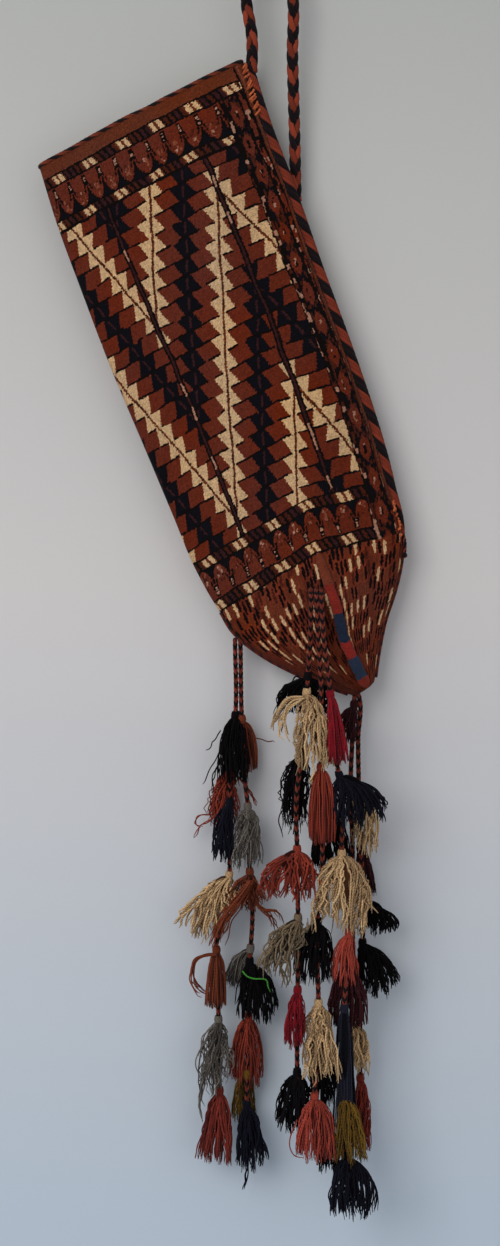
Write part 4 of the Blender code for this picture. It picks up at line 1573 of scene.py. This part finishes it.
def add_knot(yarns: YarnMesh, centre: np.ndarray, radius: float, thickness: float, seed: int) -> None:
    """Adds a small round knot of four turns.

    Args:
        yarns: the mesh that takes it.
        centre: the knot's middle.
        radius: how far the turns lie from the middle.
        thickness: half the thickness of the yarn.
        seed: what the turns' tilt is drawn from.
    """
    rng = np.random.default_rng(seed)
    angle = 2.0 * np.pi * np.arange(16) / 16.0
    for _ in range(4):
        axis = unit(rng.normal(size=3))
        first = unit(np.cross(axis, (0.3, 0.2, 1.0)))
        second = np.cross(axis, first)
        out = np.cos(angle)[:, None] * first + np.sin(angle)[:, None] * second
        yarns.add((centre + out * radius)[None], out[None], thickness, thickness, 6,
                  rng.uniform(0.2, 0.9, 1), float(rng.integers(2)), closed=True)


@dataclass(frozen=True)
class Hang:
    """How the yarns of a tassel hang; clump is how far their ends draw together into locks."""

    density: float = 1.0
    radius: float = 0.00068
    wave: float = 0.0006
    wavelength: float = 0.024
    ragged: float = 0.16
    clump: float = 0.55
    per_lock: float = 6.0


class HangKind(Enum):
    """The kinds of tassel in the three bunches."""

    FULL = Hang(wave=0.0008)
    STRAIGHT = Hang(density=1.15, wave=0.0003, wavelength=0.031, ragged=0.07, clump=0.3)
    YARNS = Hang(density=0.62, radius=0.00100, wave=0.0017, wavelength=0.022, ragged=0.30, clump=0.35,
                 per_lock=4.0)
    CURLY = Hang(density=0.9, wave=0.0017, wavelength=0.019, ragged=0.30, clump=0.6)
    LOOPED = Hang(density=1.1, wave=0.0014, wavelength=0.021, ragged=0.32, clump=0.6, per_lock=4.0)
    LOCKS = Hang(density=1.0, radius=0.00078, wave=0.0009, ragged=0.30, clump=0.85, per_lock=7.0)


@dataclass(frozen=True)
class Curl:
    """Yarns that leave the others, on a route of (beside, below) the tie, some further forward."""

    count: int
    route: tuple[tuple[float, float], ...]
    forward: float = 0.0


@dataclass(frozen=True)
class Tassel:
    """One tassel: its node, wool, string, and its place below and beside its bunch's tie.

    A full dome is round below its head and a low one is a cone. The slope is how much shorter the
    right end is, and around is the share of yarns on the other side of the string. A tassel that
    others all but hide has no solid. Its slot is named after its wool unless it is given.
    """

    name: str
    wool: Wool
    string: str
    down: float
    reach: tuple[float, float]
    bottom: float
    side: int
    hang: HangKind = HangKind.FULL
    dome: float = 0.8
    slope: float = 0.0
    around: float = 0.0
    curls: tuple[Curl, ...] = ()
    slot: str = ""
    has_solid: bool = True


@dataclass(frozen=True)
class StringRun:
    """One string: its node, the depth where it leaves the cloth, and its route as (across, down)."""

    name: str
    first_y: float
    route: tuple[tuple[float, float], ...]
    tied_with_knot: bool = True


W, H = Wool, HangKind
LEFT_STRINGS = {
    "A": StringRun("string_left_outer", 0.0043, (
        (-0.0028, 0.0), (-0.0022, 0.075), (-0.0064, 0.122), (-0.0085, 0.168), (-0.0085, 0.242),
        (-0.014, 0.29), (-0.0225, 0.32), (-0.0205, 0.383), (-0.019, 0.473))),
    "B": StringRun("string_left_inner", 0.0043, (
        (0.0028, 0.0), (0.004, 0.075), (0.0082, 0.153), (0.0105, 0.172), (0.0125, 0.24),
        (0.0155, 0.29), (0.0125, 0.34), (0.0115, 0.395), (0.0095, 0.486))),
}
FRONT_STRINGS = {
    "C": StringRun("string_front_left", -0.04332, (
        (-0.0056, 0.0), (-0.0056, 0.009), (-0.0062, 0.05), (-0.0088, 0.09), (-0.0155, 0.175),
        (-0.0198, 0.205), (-0.0198, 0.27), (-0.0188, 0.343), (-0.0198, 0.47), (-0.0198, 0.5))),
    "D": StringRun("string_front_middle", -0.04453, (
        (0.0, 0.0), (0.0, 0.009), (0.0018, 0.05), (0.0044, 0.09), (0.0044, 0.19),
        (0.0062, 0.27), (0.0004, 0.354), (0.002, 0.425), (-0.002, 0.522))),
    "E": StringRun("string_front_right", -0.04568, (
        (0.0053, 0.0), (0.0051, 0.009), (0.0074, 0.05), (0.0135, 0.1), (0.021, 0.18),
        (0.024, 0.192), (0.0262, 0.28), (0.0335, 0.35), (0.0283, 0.43), (0.0283, 0.525),
        (0.031, 0.592))),
}
TIP_STRINGS = {
    "F": StringRun("string_tip_left", 0.0, (
        (-0.0028, 0.0), (-0.005, 0.045), (-0.0068, 0.085), (-0.005, 0.16), (-0.0046, 0.25),
        (-0.006, 0.32), (-0.0044, 0.385))),
    "G": StringRun("string_tip_right", 0.0, (
        (0.0006, -0.0026), (0.0024, 0.004), (0.001, 0.045), (0.0015, 0.09), (0.003, 0.155), (0.0072, 0.215),
        (0.0055, 0.26), (0.0015, 0.33), (0.0035, 0.41)), tied_with_knot=False),
}
LEFT_TASSELS = (
    Tassel("black_tassel_top_left", W.BLACK, "A", 0.075, (-0.021, 0.011), 0.156, -1, around=0.2,
           curls=(Curl(1, ((-0.0175, 0.0943), (-0.0245, 0.105), (-0.0324, 0.1165))),
                  Curl(1, ((-0.017, 0.112), (-0.0275, 0.1339), (-0.0374, 0.1504))),
                  Curl(2, ((-0.017, 0.125), (-0.024, 0.14), (-0.0267, 0.1586))))),
    Tassel("brown_tassel_top_left", W.BROWN, "B", 0.079, (-0.003, 0.022), 0.14, 1, H.STRAIGHT,
           curls=(Curl(1, ((0.008, 0.095), (0.0171, 0.1022), (0.0402, 0.1083))),)),
    Tassel("terracotta_tassel_left", W.TERRACOTTA, "A", 0.131, (-0.03, -0.002), 0.204, 1,
           H.CURLY,
           curls=(Curl(2, ((-0.015, 0.165), (-0.0275, 0.185), (-0.044, 0.1883), (-0.0457, 0.1949),
                           (-0.0391, 0.1998))),
                  Curl(2, ((-0.016, 0.172), (-0.0291, 0.19), (-0.0406, 0.1966), (-0.0473, 0.2097))),
                  Curl(5, ((-0.002, 0.142), (0.0071, 0.152), (0.022, 0.1767))))),
    Tassel("navy_tassel_left", W.NAVY, "A", 0.167, (-0.027, -0.005), 0.24, -1, H.LOCKS),
    Tassel("grey_tassel_left", W.GREY, "B", 0.171, (-0.003, 0.025), 0.246, -1, H.CURLY),
    Tassel("cream_tassel_left", W.CREAM, "A", 0.243, (-0.056, 0.001), 0.319, -1, H.YARNS,
           dome=0.55, slope=0.42),
    Tassel("brown_tassel_wide_left", W.BROWN, "B", 0.24, (-0.008, 0.026), 0.288, -1, H.CURLY,
           dome=0.3, around=0.3,
           curls=(Curl(34, ((0.014, 0.252), (0.005, 0.266), (-0.012, 0.289), (-0.024, 0.32)), 0.011),
                  Curl(5, ((0.015, 0.256), (0.0187, 0.2683), (0.0253, 0.2831), (0.0385, 0.2831),
                           (0.0467, 0.2946), (0.0476, 0.3029))),
                  Curl(6, ((0.015, 0.258), (0.021, 0.276), (0.034, 0.288), (0.042, 0.309))))),
    Tassel("brown_tassel_low_left", W.BROWN, "A", 0.322, (-0.034, -0.012), 0.386, -1, H.STRAIGHT,
           curls=(Curl(9, ((-0.022, 0.329), (-0.03, 0.329), (-0.044, 0.3342), (-0.0481, 0.3441),
                           (-0.0457, 0.3607), (-0.0308, 0.3714), (-0.023, 0.372))),)),
    Tassel("grey_green_tassel_left", W.GREY, "B", 0.32, (-0.013, 0.012), 0.371, 1, slot="taupe_wool"),
    Tassel("black_tassel_low_left", W.BLACK, "B", 0.334, (-0.001, 0.042), 0.404, -1, H.LOCKS),
    Tassel("grey_tassel_low_left", W.GREY, "A", 0.395, (-0.04, -0.008), 0.484, -1, H.CURLY,
           slope=0.3,
           curls=(Curl(5, ((-0.03, 0.44), (-0.0385, 0.489), (-0.0343, 0.5044))),
                  Curl(2, ((-0.026, 0.404), (-0.036, 0.415), (-0.0395, 0.437))))),
    Tassel("coral_tassel_left", W.TERRACOTTA, "B", 0.392, (-0.01, 0.026), 0.476, 1, around=0.1,
           slot="coral_wool"),
    Tassel("olive_tassel_left", W.OLIVE, "B", 0.452, (-0.007, 0.018), 0.514, 1),
    Tassel("crimson_tassel_low_left", W.BRICK, "A", 0.47, (-0.043, -0.003), 0.552, -1,
           dome=0.35, curls=(Curl(2, ((-0.025, 0.495), (-0.04, 0.525), (-0.046, 0.542))),),
           slot="crimson_wool"),
    Tassel("navy_tassel_low_left", W.NAVY, "B", 0.484, (-0.002, 0.03), 0.562, -1, H.LOCKS,
           curls=(Curl(3, ((0.012, 0.53), (0.0088, 0.56), (0.006, 0.5745))),)),
)
FRONT_TASSELS = (
    Tassel("black_tassel_front_top", W.BLACK, "C", 0.084, (-0.04, 0.016), 0.138, 1, H.LOOPED,
           dome=1.0, curls=(Curl(2, ((-0.012, 0.094), (-0.0205, 0.089), (-0.0243, 0.0968),
                                     (-0.0215, 0.1045), (-0.015, 0.103))),)),
    Tassel("cream_tassel_front_top", W.CREAM, "C", 0.101, (-0.017, 0.016), 0.192, -1, H.YARNS,
           curls=(Curl(9, ((-0.0135, 0.11), (-0.028, 0.112), (-0.038, 0.128), (-0.0434, 0.144))),
                  Curl(6, ((-0.015, 0.111), (-0.03, 0.122), (-0.036, 0.14), (-0.03, 0.156))),
                  Curl(2, ((-0.005, 0.17), (-0.003, 0.185), (-0.007, 0.196))))),
    Tassel("crimson_tassel_front_top", W.CRIMSON, "E", 0.103, (0.009, 0.033), 0.18, -1,
           H.STRAIGHT, dome=0.0),
    Tassel("black_tassel_front_left", W.BLACK, "C", 0.165, (-0.036, -0.008), 0.256, 1, H.LOOPED,
           curls=(Curl(1, ((-0.017, 0.172), (-0.0302, 0.1854), (-0.0318, 0.1999), (-0.027, 0.203))),
                  Curl(1, ((-0.026, 0.22), (-0.0366, 0.2302), (-0.0352, 0.2542))))),
    Tassel("terracotta_tassel_front", W.TERRACOTTA, "D", 0.178, (-0.007, 0.019), 0.262, -1,
           H.STRAIGHT, dome=1.5),
    Tassel("navy_tassel_front_fan", W.NAVY, "E", 0.186, (0.016, 0.072), 0.252, -1, H.LOCKS,
           dome=1.0, slope=0.2),
    Tassel("terracotta_tassel_front_fan", W.TERRACOTTA, "C", 0.262, (-0.058, 0.002), 0.322,
           -1, H.YARNS, dome=0.8, around=0.1),
    Tassel("cream_tassel_front_middle", W.CREAM, "E", 0.266, (-0.003, 0.056), 0.356, -1, H.YARNS,
           dome=0.9),
    Tassel("taupe_tassel_front", W.TAUPE, "C", 0.332, (-0.058, -0.012), 0.404, -1, H.YARNS,
           dome=0.5, slope=0.6),
    Tassel("black_tassel_front_middle", W.BLACK, "D", 0.336, (-0.022, 0.017), 0.408, 1,
           dome=1.2, around=0.3),
    Tassel("coral_tassel_front_middle", W.CORAL, "E", 0.347, (0.015, 0.044), 0.408, 1,
           around=0.45),
    Tassel("crimson_tassel_front_left", W.CRIMSON, "C", 0.406, (-0.031, -0.012), 0.47, -1),
    Tassel("cream_tassel_front_low", W.CREAM, "D", 0.419, (-0.013, 0.02), 0.511, -1, H.YARNS),
    Tassel("slate_tassel_front", W.SLATE, "E", 0.424, (0.018, 0.04), 0.574, 1, H.STRAIGHT,
           around=0.55),
    Tassel("black_tassel_front_low", W.BLACK, "C", 0.49, (-0.042, -0.003), 0.566, 1, H.LOCKS,
           dome=0.4, slope=0.45, around=0.3),
    Tassel("coral_tassel_front_low", W.CORAL, "D", 0.515, (-0.021, 0.021), 0.586, -1, dome=0.8,
           curls=(Curl(1, ((-0.02, 0.54), (-0.0272, 0.561), (-0.0245, 0.5744), (-0.0147, 0.5795))),)),
    Tassel("olive_tassel_front", W.OLIVE, "E", 0.514, (0.019, 0.05), 0.59, -1, dome=0.75),
    Tassel("black_tassel_front_last", W.BLACK, "D", 0.52, (0.0, 0.023), 0.61, 1, H.LOCKS),
    Tassel("navy_tassel_front_last", W.NAVY, "E", 0.575, (0.014, 0.058), 0.648, -1, H.LOCKS,
           dome=1.3),
    Tassel("black_tassel_behind_fan", W.BLACK, "D", 0.22, (-0.006, 0.036), 0.294, 1, H.LOCKS,
           has_solid=False),
    Tassel("maroon_tassel_behind_coral", W.MAROON, "E", 0.383, (0.012, 0.053), 0.458, 1,
           has_solid=False),
    Tassel("black_tassel_behind_slate", W.BLACK, "D", 0.468, (-0.006, 0.028), 0.538, 1, H.LOCKS,
           has_solid=False),
)
TIP_TASSELS = (
    Tassel("maroon_tassel_tip", W.MAROON, "F", 0.006, (-0.024, -0.001), 0.055, -1),
    Tassel("beige_tassel_tip", W.CREAM, "G", 0.092, (-0.003, 0.02), 0.174, -1, H.YARNS),
    Tassel("brown_tassel_tip", W.MAROON, "G", 0.157, (-0.002, 0.02), 0.218, 1),
    Tassel("black_tassel_tip", W.BLACK, "G", 0.212, (0.002, 0.041), 0.254, -1, H.LOCKS,
           dome=1.1, slope=0.1),
    Tassel("black_tassel_tip_low", W.BLACK, "G", 0.256, (-0.002, 0.042), 0.32, -1, H.LOCKS,
           slope=0.15, curls=(Curl(4, ((0.015, 0.268), (0.03, 0.275), (0.0428, 0.2951))),
                              Curl(5, ((0.012, 0.27), (0.0205, 0.286), (0.0265, 0.302),
                                       (0.0319, 0.319))))),
    Tassel("beige_tassel_tip_low", W.CREAM, "F", 0.34, (-0.009, 0.013), 0.404, -1, H.YARNS),
    Tassel("coral_tassel_tip_low", W.BRICK, "G", 0.398, (-0.004, 0.013), 0.48, -1, slot="coral_wool"),
)
GREEN_THREAD = ((0.005, 0.344), (0.0097, 0.3491), (0.0171, 0.3524), (0.0287, 0.3524), (0.0319, 0.359),
                (0.0344, 0.3656))


@dataclass
class StringBunch:
    """A bunch of braided strings with its tassels, on a body of its own below its tie."""

    body: str
    tie: tuple[float, float, float]
    strings: dict[str, StringRun]
    tassels: tuple[Tassel, ...]
    sizes: BagSizes
    dyer: Dyer
    tassel_half_depth: float = 0.0100
    core_length: float = 0.78
    head_length: float = 0.0085
    head_turns: int = 7
    string_reach: float = 0.0030
    string_maker: RopeMaker = RopeMaker(
        RopeLook.PLAITED, (1, 0, 1, 0), pitch=0.0200, radius=0.0014, half_width=0.0013, half_depth=0.0010,
        lift=0.0009, steps_per_pitch=20, sides=5)

    def across_at(self, letter: str, down: object) -> object:
        """How far beside the tie a string hangs at a distance, or distances, below it."""
        route = np.array(self.strings[letter].route)
        return np.interp(down, route[:, 1], route[:, 0])

    def make(self, seed: int) -> None:
        """Makes the bunch.

        Args:
            seed: what the tassels' yarns are drawn from.
        """
        hung: dict[str, list] = {letter: [] for letter in self.strings}
        for number, tassel in enumerate(self.tassels):
            piece = self.make_tassel(tassel, np.random.default_rng(seed + number))
            slot = tassel.slot or f"{tassel.wool.name.lower()}_wool"
            declare(piece, self.body, slot, tassel.name if tassel.has_solid else "")
            hung[tassel.string].append(piece)
        for number, (letter, run) in enumerate(self.strings.items()):
            self.make_string(run, seed + 50 + number)

    def make_string(self, run: StringRun, seed: int) -> None:
        """One braided string, with a knot at its end.

        Args:
            run: the string's facts.
            seed: what its shades are drawn from.
        """
        route = np.array([(across, 0.0, -down) for across, down in run.route]) + self.tie
        route[0, 1] = run.first_y
        yarns = YarnMesh()
        self.string_maker.lay(yarns, smooth_points(route, 360), seed)
        add_knot(yarns, route[-1], 0.0020, 0.0012, seed)
        if run.tied_with_knot:
            add_knot(yarns, route[0], 0.0017, 0.0011, seed + 1)
        wools = self.dyer.yarn("string wools", WoolFinish((48, 15, 11), (154, 66, 48), 420.0),
                               WoolFinish((6, 4, 5), (32, 21, 23)))
        piece = yarns.build(run.name.replace("string", "braided_string"), wools)
        declare(piece, self.body, "string_wool", run.name)
        path = smooth_points(route, 38)

    def make_thread(self, name: str, wool: Wool, route: tuple, depth: float) -> None:
        """A single loose thread that lies on the bunch.

        Args:
            name: the object's name.
            wool: its wool.
            route: its route as (beside, below) the tie.
            depth: how far before the strings it lies.
        """
        yarns = YarnMesh()
        self.add_curl(yarns, Curl(1, route), -depth, 0.0009, np.random.default_rng(3))
        declare(yarns.build(name, self.dyer.yarn(name.replace("_", " "), wool.value)), self.body,
                "string_wool")

    def make_tassel(self, tassel: Tassel, rng: np.random.Generator) -> bpy.types.Object:
        """One tassel: a wound head, its skirt of yarns and those that leave it.

        Args:
            tassel: the tassel's facts.
            rng: what its yarns are drawn from.

        Returns:
            The object.
        """
        hang = tassel.hang.value
        yarns = YarnMesh()
        centres = self.skirt(tassel, rng)
        count, steps, _ = centres.shape
        taper = np.interp(np.linspace(0.0, 1.0, steps), (0.0, 0.06, 0.88, 1.0), (0.6, 1.0, 0.92, 0.4))
        radius = hang.radius * rng.uniform(0.8, 1.2, (count, 1)) * taper
        yarns.add(centres, -TOWARD_WALL + 0.05, radius, radius, 4, rng.uniform(0.0, 1.0, count))
        self.add_core(yarns, centres)
        for curl in tassel.curls:
            self.add_curl(yarns, curl, self.layer(tassel) * 0.9 - curl.forward, hang.radius * 1.05, rng)
        self.add_head(yarns, tassel)
        material = self.dyer.yarn(f"{tassel.wool.name.lower()} wool", tassel.wool.value)
        return yarns.build(tassel.name.replace("tassel", "wool_tassel"), material)

    def half_depth(self, tassel: Tassel) -> float:
        """Half the depth of a tassel's skirt."""
        return min((tassel.reach[1] - tassel.reach[0]) * 0.5, self.tassel_half_depth)

    def layer(self, tassel: Tassel) -> float:
        """How far toward the wall from its string the middle of a skirt hangs."""
        return tassel.side * (self.sizes.string * 0.5 + self.sizes.gap + self.half_depth(tassel))

    def skirt(self, tassel: Tassel, rng: np.random.Generator) -> np.ndarray:
        """The middle lines of a tassel's yarns, from under its head to their ends in locks.

        Args:
            tassel: the tassel's facts.
            rng: what the yarns are drawn from.

        Returns:
            Points, as yarns by steps by three.
        """
        hang = tassel.hang.value
        half = (tassel.reach[1] - tassel.reach[0]) * 0.5
        middle = (tassel.reach[0] + tassel.reach[1]) * 0.5
        count = int(round((24.0 + half * 2000.0 * 1.9) * hang.density))
        place = (np.arange(count) + rng.uniform(0.0, 1.0, count)) / count * 2.0 - 1.0
        locks = max(4, int(round(count / hang.per_lock)))
        edges = np.cumsum(rng.uniform(0.3, 1.7, locks))
        lock = np.minimum(np.searchsorted(edges / edges[-1], (place + 1.0) * 0.5), locks - 1)
        lock_place = (edges - edges[0] * 0.5)[lock] / edges[-1] * 2.0 - 1.0
        lock_place = lock_place + rng.normal(0.0, 0.10, locks)[lock]
        clump = hang.clump * rng.uniform(0.3, 1.2, locks)[lock]
        end_place = place + (lock_place - place) * clump + rng.normal(0.0, 0.05, count)
        shorter = hang.ragged * (rng.uniform(0.0, 1.0, locks)[lock] * 0.8 + rng.uniform(0.0, 0.35, count))
        shorter = shorter + 0.05 * np.abs(place) ** 3 + tassel.slope * np.maximum(place, 0.0)
        length = tassel.bottom - tassel.down
        downs = tassel.bottom - length * shorter

        head = float(self.across_at(tassel.string, tassel.down + self.head_length))
        layer, deep = self.layer(tassel), self.half_depth(tassel)
        inward = rng.uniform(-0.95, 0.95, count) * np.sqrt(np.clip(1.0 - place ** 2 * 0.8, 0.1, 1.0))
        depth = layer + deep * inward
        around = rng.uniform(0.0, 1.0, count) < tassel.around
        beyond = self.string_reach + rng.uniform(0.0006, 0.0040, count)
        depth = np.where(around, -tassel.side * beyond, depth)
        end_depth = depth + (np.mean(depth) - depth) * hang.clump * 0.4
        wide = np.where(around, 0.8, 1.0) * half
        away = middle + place * wide - head
        ends = middle + end_place * wide
        neck = tassel.down + self.head_length
        flare = 0.30 + 0.26 * tassel.dome
        body = 0.66 + 0.40 * tassel.dome
        crown = 0.0030 * tassel.dome
        turn = neck + (length - self.head_length) * rng.uniform(0.22, 0.48, count)
        corners = np.stack([
            np.stack((head + place * 0.0024, inward * 0.0020, -np.full(count, neck - 0.0016)), axis=-1),
            np.stack((head + away * flare, depth * 0.55, -neck + crown * (1.0 - place ** 2)), axis=-1),
            np.stack((head + away * body, depth, -turn), axis=-1),
            np.stack((ends, end_depth, -downs), axis=-1)], axis=1)
        steps = max(12, int(math.ceil(length / 0.0042)))
        s = np.linspace(0.0, 1.0, steps)[None, :, None]
        curve = ((1.0 - s) ** 3 * corners[:, None, 0] + 3.0 * s * (1.0 - s) ** 2 * corners[:, None, 1]
                 + 3.0 * s ** 2 * (1.0 - s) * corners[:, None, 2] + s ** 3 * corners[:, None, 3])
        sway = rng.normal(0.0, hang.wave * 2.2, (locks, 3))[lock] * np.array((1.0, 1.0, 0.0))
        bend = np.sin(s * np.pi * rng.uniform(0.8, 1.7, locks)[lock][:, None, None]) * s
        return curve + bend * sway[:, None] + self.waves(curve, hang, length, rng) + self.tie

    @staticmethod
    def waves(curve: np.ndarray, hang: Hang, length: float, rng: np.random.Generator) -> np.ndarray:
        """The crimp and the wander of a tassel's yarns.

        Args:
            curve: the yarns' middle lines.
            hang: how they hang.
            length: the skirt's length.
            rng: what the phases are drawn from.

        Returns:
            What to add to the lines.
        """
        count, steps, _ = curve.shape
        s = np.linspace(0.0, 1.0, steps)[None]
        grow = np.clip(s / 0.4, 0.0, 1.0)
        turns = length / hang.wavelength * rng.uniform(0.5, 1.4, (count, 1))
        phase = rng.uniform(0.0, 2.0 * np.pi, (count, 1))
        slow = rng.uniform(0.0, 2.0 * np.pi, (count, 1))
        size = hang.wave * rng.uniform(0.3, 1.5, (count, 1)) * grow
        angle = 2.0 * np.pi * turns * (s + 0.12 * np.sin(2.0 * np.pi * s + slow)) + phase
        wander = hang.wave * 2.0 * grow * np.sin(2.0 * np.pi * s * rng.uniform(0.5, 1.2, (count, 1)) + slow)
        sway = size * np.sin(angle) + wander
        return np.stack((sway, size * np.cos(angle) * 0.8, size * 0.3 * np.sin(angle * 0.7)), axis=-1)

    def add_curl(self, yarns: YarnMesh, curl: Curl, depth: float, radius: float,
                 rng: np.random.Generator) -> None:
        """Adds yarns that leave the others.

        Args:
            yarns: the mesh that takes them.
            curl: how many there are, and their route.
            depth: how far toward the wall from the strings they hang.
            radius: half their thickness.
            rng: what their spread is drawn from.
        """
        route = smooth_points(np.array([(across, depth, -down) for across, down in curl.route]), 26)
        s = np.linspace(0.0, 1.0, len(route))
        ends = rng.uniform(0.72, 1.0, (curl.count, 1)) if curl.count > 3 else np.ones((curl.count, 1))
        along = np.stack([np.interp(s * ends, s, route[:, axis]) for axis in range(3)], axis=-1)
        taper = radius * np.interp(s, (0.0, 0.85, 1.0), (1.0, 0.9, 0.4))
        s = s[None, :, None]
        spread = radius * 1.5 * math.sqrt(curl.count - 1.0)
        aside = rng.uniform(-1.0, 1.0, (curl.count, 1, 3)) * spread * np.array((1.0, 1.5, 1.0))
        turn = rng.uniform(0.0, 2.0 * np.pi, (curl.count, 1, 3))
        sway = 0.0011 * np.sin(s * (8.0 + turn * 2.0) + turn) * s
        centres = along + aside * (0.35 + 1.0 * s) + sway + self.tie
        yarns.add(centres, -TOWARD_WALL + 0.05, taper, taper, 5, rng.uniform(0.1, 0.9, curl.count))

    def add_core(self, yarns: YarnMesh, centres: np.ndarray) -> None:
        """Adds the yarns deep inside a skirt, as one soft mass that ends well above the tips, in the wool's
        deepest colour as painted shade.

        Args:
            yarns: the mesh that takes it.
            centres: the skirt's middle lines.
        """
        kept = centres[:, :int(centres.shape[1] * self.core_length)]
        taper = np.interp(np.linspace(0.0, 1.0, kept.shape[1]), (0.0, 0.2, 0.6, 1.0), (0.7, 1.0, 0.9, 0.12))
        wide, deep = (kept[..., axis].std(axis=0) * taper for axis in (0, 1))
        path = np.median(kept, axis=0)
        # painted shade: a shade below zero gives the wool's deepest colour, for the shade between the yarns
        yarns.add(path[None], -TOWARD_WALL + 0.05, wide * 1.12 + 0.0004, deep + 0.0003, 12, -0.7)

    def add_head(self, yarns: YarnMesh, tassel: Tassel) -> None:
        """Adds the yarn wound round the string as a tassel's head.

        Args:
            yarns: the mesh that takes it.
            tassel: the tassel's facts.
        """
        s = np.linspace(0.0, 1.0, self.head_turns * 14)
        angle = 2.0 * np.pi * self.head_turns * s
        down = tassel.down + s * self.head_length
        centre = np.stack((self.across_at(tassel.string, down), 0.0 * s, -down), axis=-1)
        radius = self.string_reach + 0.0001 + 0.0008 * np.sin(np.pi * s)
        out = np.stack((np.cos(angle), np.sin(angle), 0.0 * s), axis=-1)
        yarns.add((centre + out * radius[:, None] + self.tie)[None], out[None], 0.0008, 0.0008, 5, 0.6)


@dataclass(frozen=True)
class Studio:
    """The wall, the floor, the lamps and the camera."""

    wall_y: float = 0.034
    floor_z: float = -1.75
    room: float = 6.0
    wall_height: float = 4.2
    cove: float = 0.25
    eye: tuple[float, float, float] = (-0.01995, -2.2, -0.68565)
    frame_height: float = 1246 * 0.00105
    aim: tuple[float, float, float] = (0.0, 0.0, -0.65)

    def make(self, wall: bpy.types.Material) -> None:
        """Sets up the room, the camera and the lamps.

        Args:
            wall: the finish of the wall and the floor.
        """
        self.make_room(wall)
        self.make_camera()
        self.make_lamps()
        bpy.context.scene.view_settings.view_transform = "Standard"

    def make_room(self, wall: bpy.types.Material) -> None:
        """One sheet that is the floor, curves up and is the wall behind the bag.

        Args:
            wall: its finish.
        """
        bpy.ops.object.select_all(action="DESELECT")
        middle = (0.0, self.wall_y - self.room * 0.5, self.floor_z)
        bpy.ops.mesh.primitive_plane_add(size=self.room, location=middle)
        room = bpy.context.active_object
        room.name = "wall_and_floor"
        bpy.ops.object.mode_set(mode="EDIT")
        bpy.ops.mesh.select_mode(type="EDGE")
        bpy.ops.mesh.select_all(action="DESELECT")
        bpy.ops.object.mode_set(mode="OBJECT")
        for edge in room.data.edges:
            ends = [room.matrix_world @ room.data.vertices[i].co for i in edge.vertices]
            edge.select = all(end.y > self.wall_y - 0.01 for end in ends)
        bpy.ops.object.mode_set(mode="EDIT")
        bpy.ops.mesh.extrude_region_move(TRANSFORM_OT_translate={"value": (0.0, 0.0, self.wall_height)})
        bpy.ops.object.mode_set(mode="OBJECT")
        bevel = room.modifiers.new("cove", "BEVEL")
        bevel.width = self.cove
        bevel.segments = 12
        bpy.ops.object.modifier_apply(modifier="cove")
        bpy.ops.object.transform_apply(location=True, rotation=True, scale=True)
        shade_smooth(room)
        room.data.materials.append(wall)

    def make_camera(self) -> None:
        """The camera, straight before the bag at about eye height."""
        data = bpy.data.cameras.new("camera")
        data.sensor_width = 36.0
        data.lens = data.sensor_width * -self.eye[1] / self.frame_height
        data.clip_start = 0.05
        camera = bpy.data.objects.new("camera", data)
        camera.location = self.eye
        camera.rotation_euler = (math.radians(90.0), 0.0, 0.0)
        bpy.context.scene.collection.objects.link(camera)
        bpy.context.scene.camera = camera

    def make_lamps(self) -> None:
        """A soft lamp from the upper left, a weak one from the right, and a plain pale sky."""
        for name, place, size, power in (("key", (-1.25, -2.5, 0.15), 1.8, 36.0),
                                         ("fill", (1.5, -2.3, -0.7), 2.0, 4.5)):
            data = bpy.data.lights.new(name, "AREA")
            data.energy = power
            data.size = size
            lamp = bpy.data.objects.new(name, data)
            lamp.location = place
            x, y, z = np.array(self.aim) - place
            lamp.rotation_euler = (math.atan2(math.hypot(x, y), -z), 0.0, math.atan2(-x, y))
            bpy.context.scene.collection.objects.link(lamp)
        world = bpy.data.worlds.new("sky")
        bpy.context.scene.world = world
        world.use_nodes = True
        sky = world.node_tree.nodes["Background"]
        sky.inputs["Color"].default_value = srgb(232, 234, 238)
        sky.inputs["Strength"].default_value = 0.62


def main() -> None:
    logging.basicConfig(level=logging.INFO, format="%(message)s")
    sizes, dyer = BagSizes(), Dyer()
    Studio().make(dyer.wall())
    bag = WovenBag(sizes, dyer)
    RopeWork(bag, dyer).make()
    bag.make()
    bunches = (
        StringBunch("left_strings", (-0.032928, 0.0043, -0.703626), LEFT_STRINGS, LEFT_TASSELS, sizes, dyer),
        StringBunch("front_strings", (0.048049, -0.05576, -0.651384), FRONT_STRINGS, FRONT_TASSELS, sizes,
                    dyer),
        StringBunch("tip_strings", (0.092611, 0.0, -0.761175), TIP_STRINGS, TIP_TASSELS, sizes, dyer))
    for number, bunch in enumerate(bunches):
        bunch.make(100 * (number + 1))
    bunches[0].make_thread("green_thread", Wool.GREEN, GREEN_THREAD, 0.0245)
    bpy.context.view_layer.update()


def plain(box: object) -> list:
    """The lowest and highest corners of a box, as lists of numbers."""
    return [[float(x) for x in corner] for corner in box]


if __name__ == "__main__":
    main()
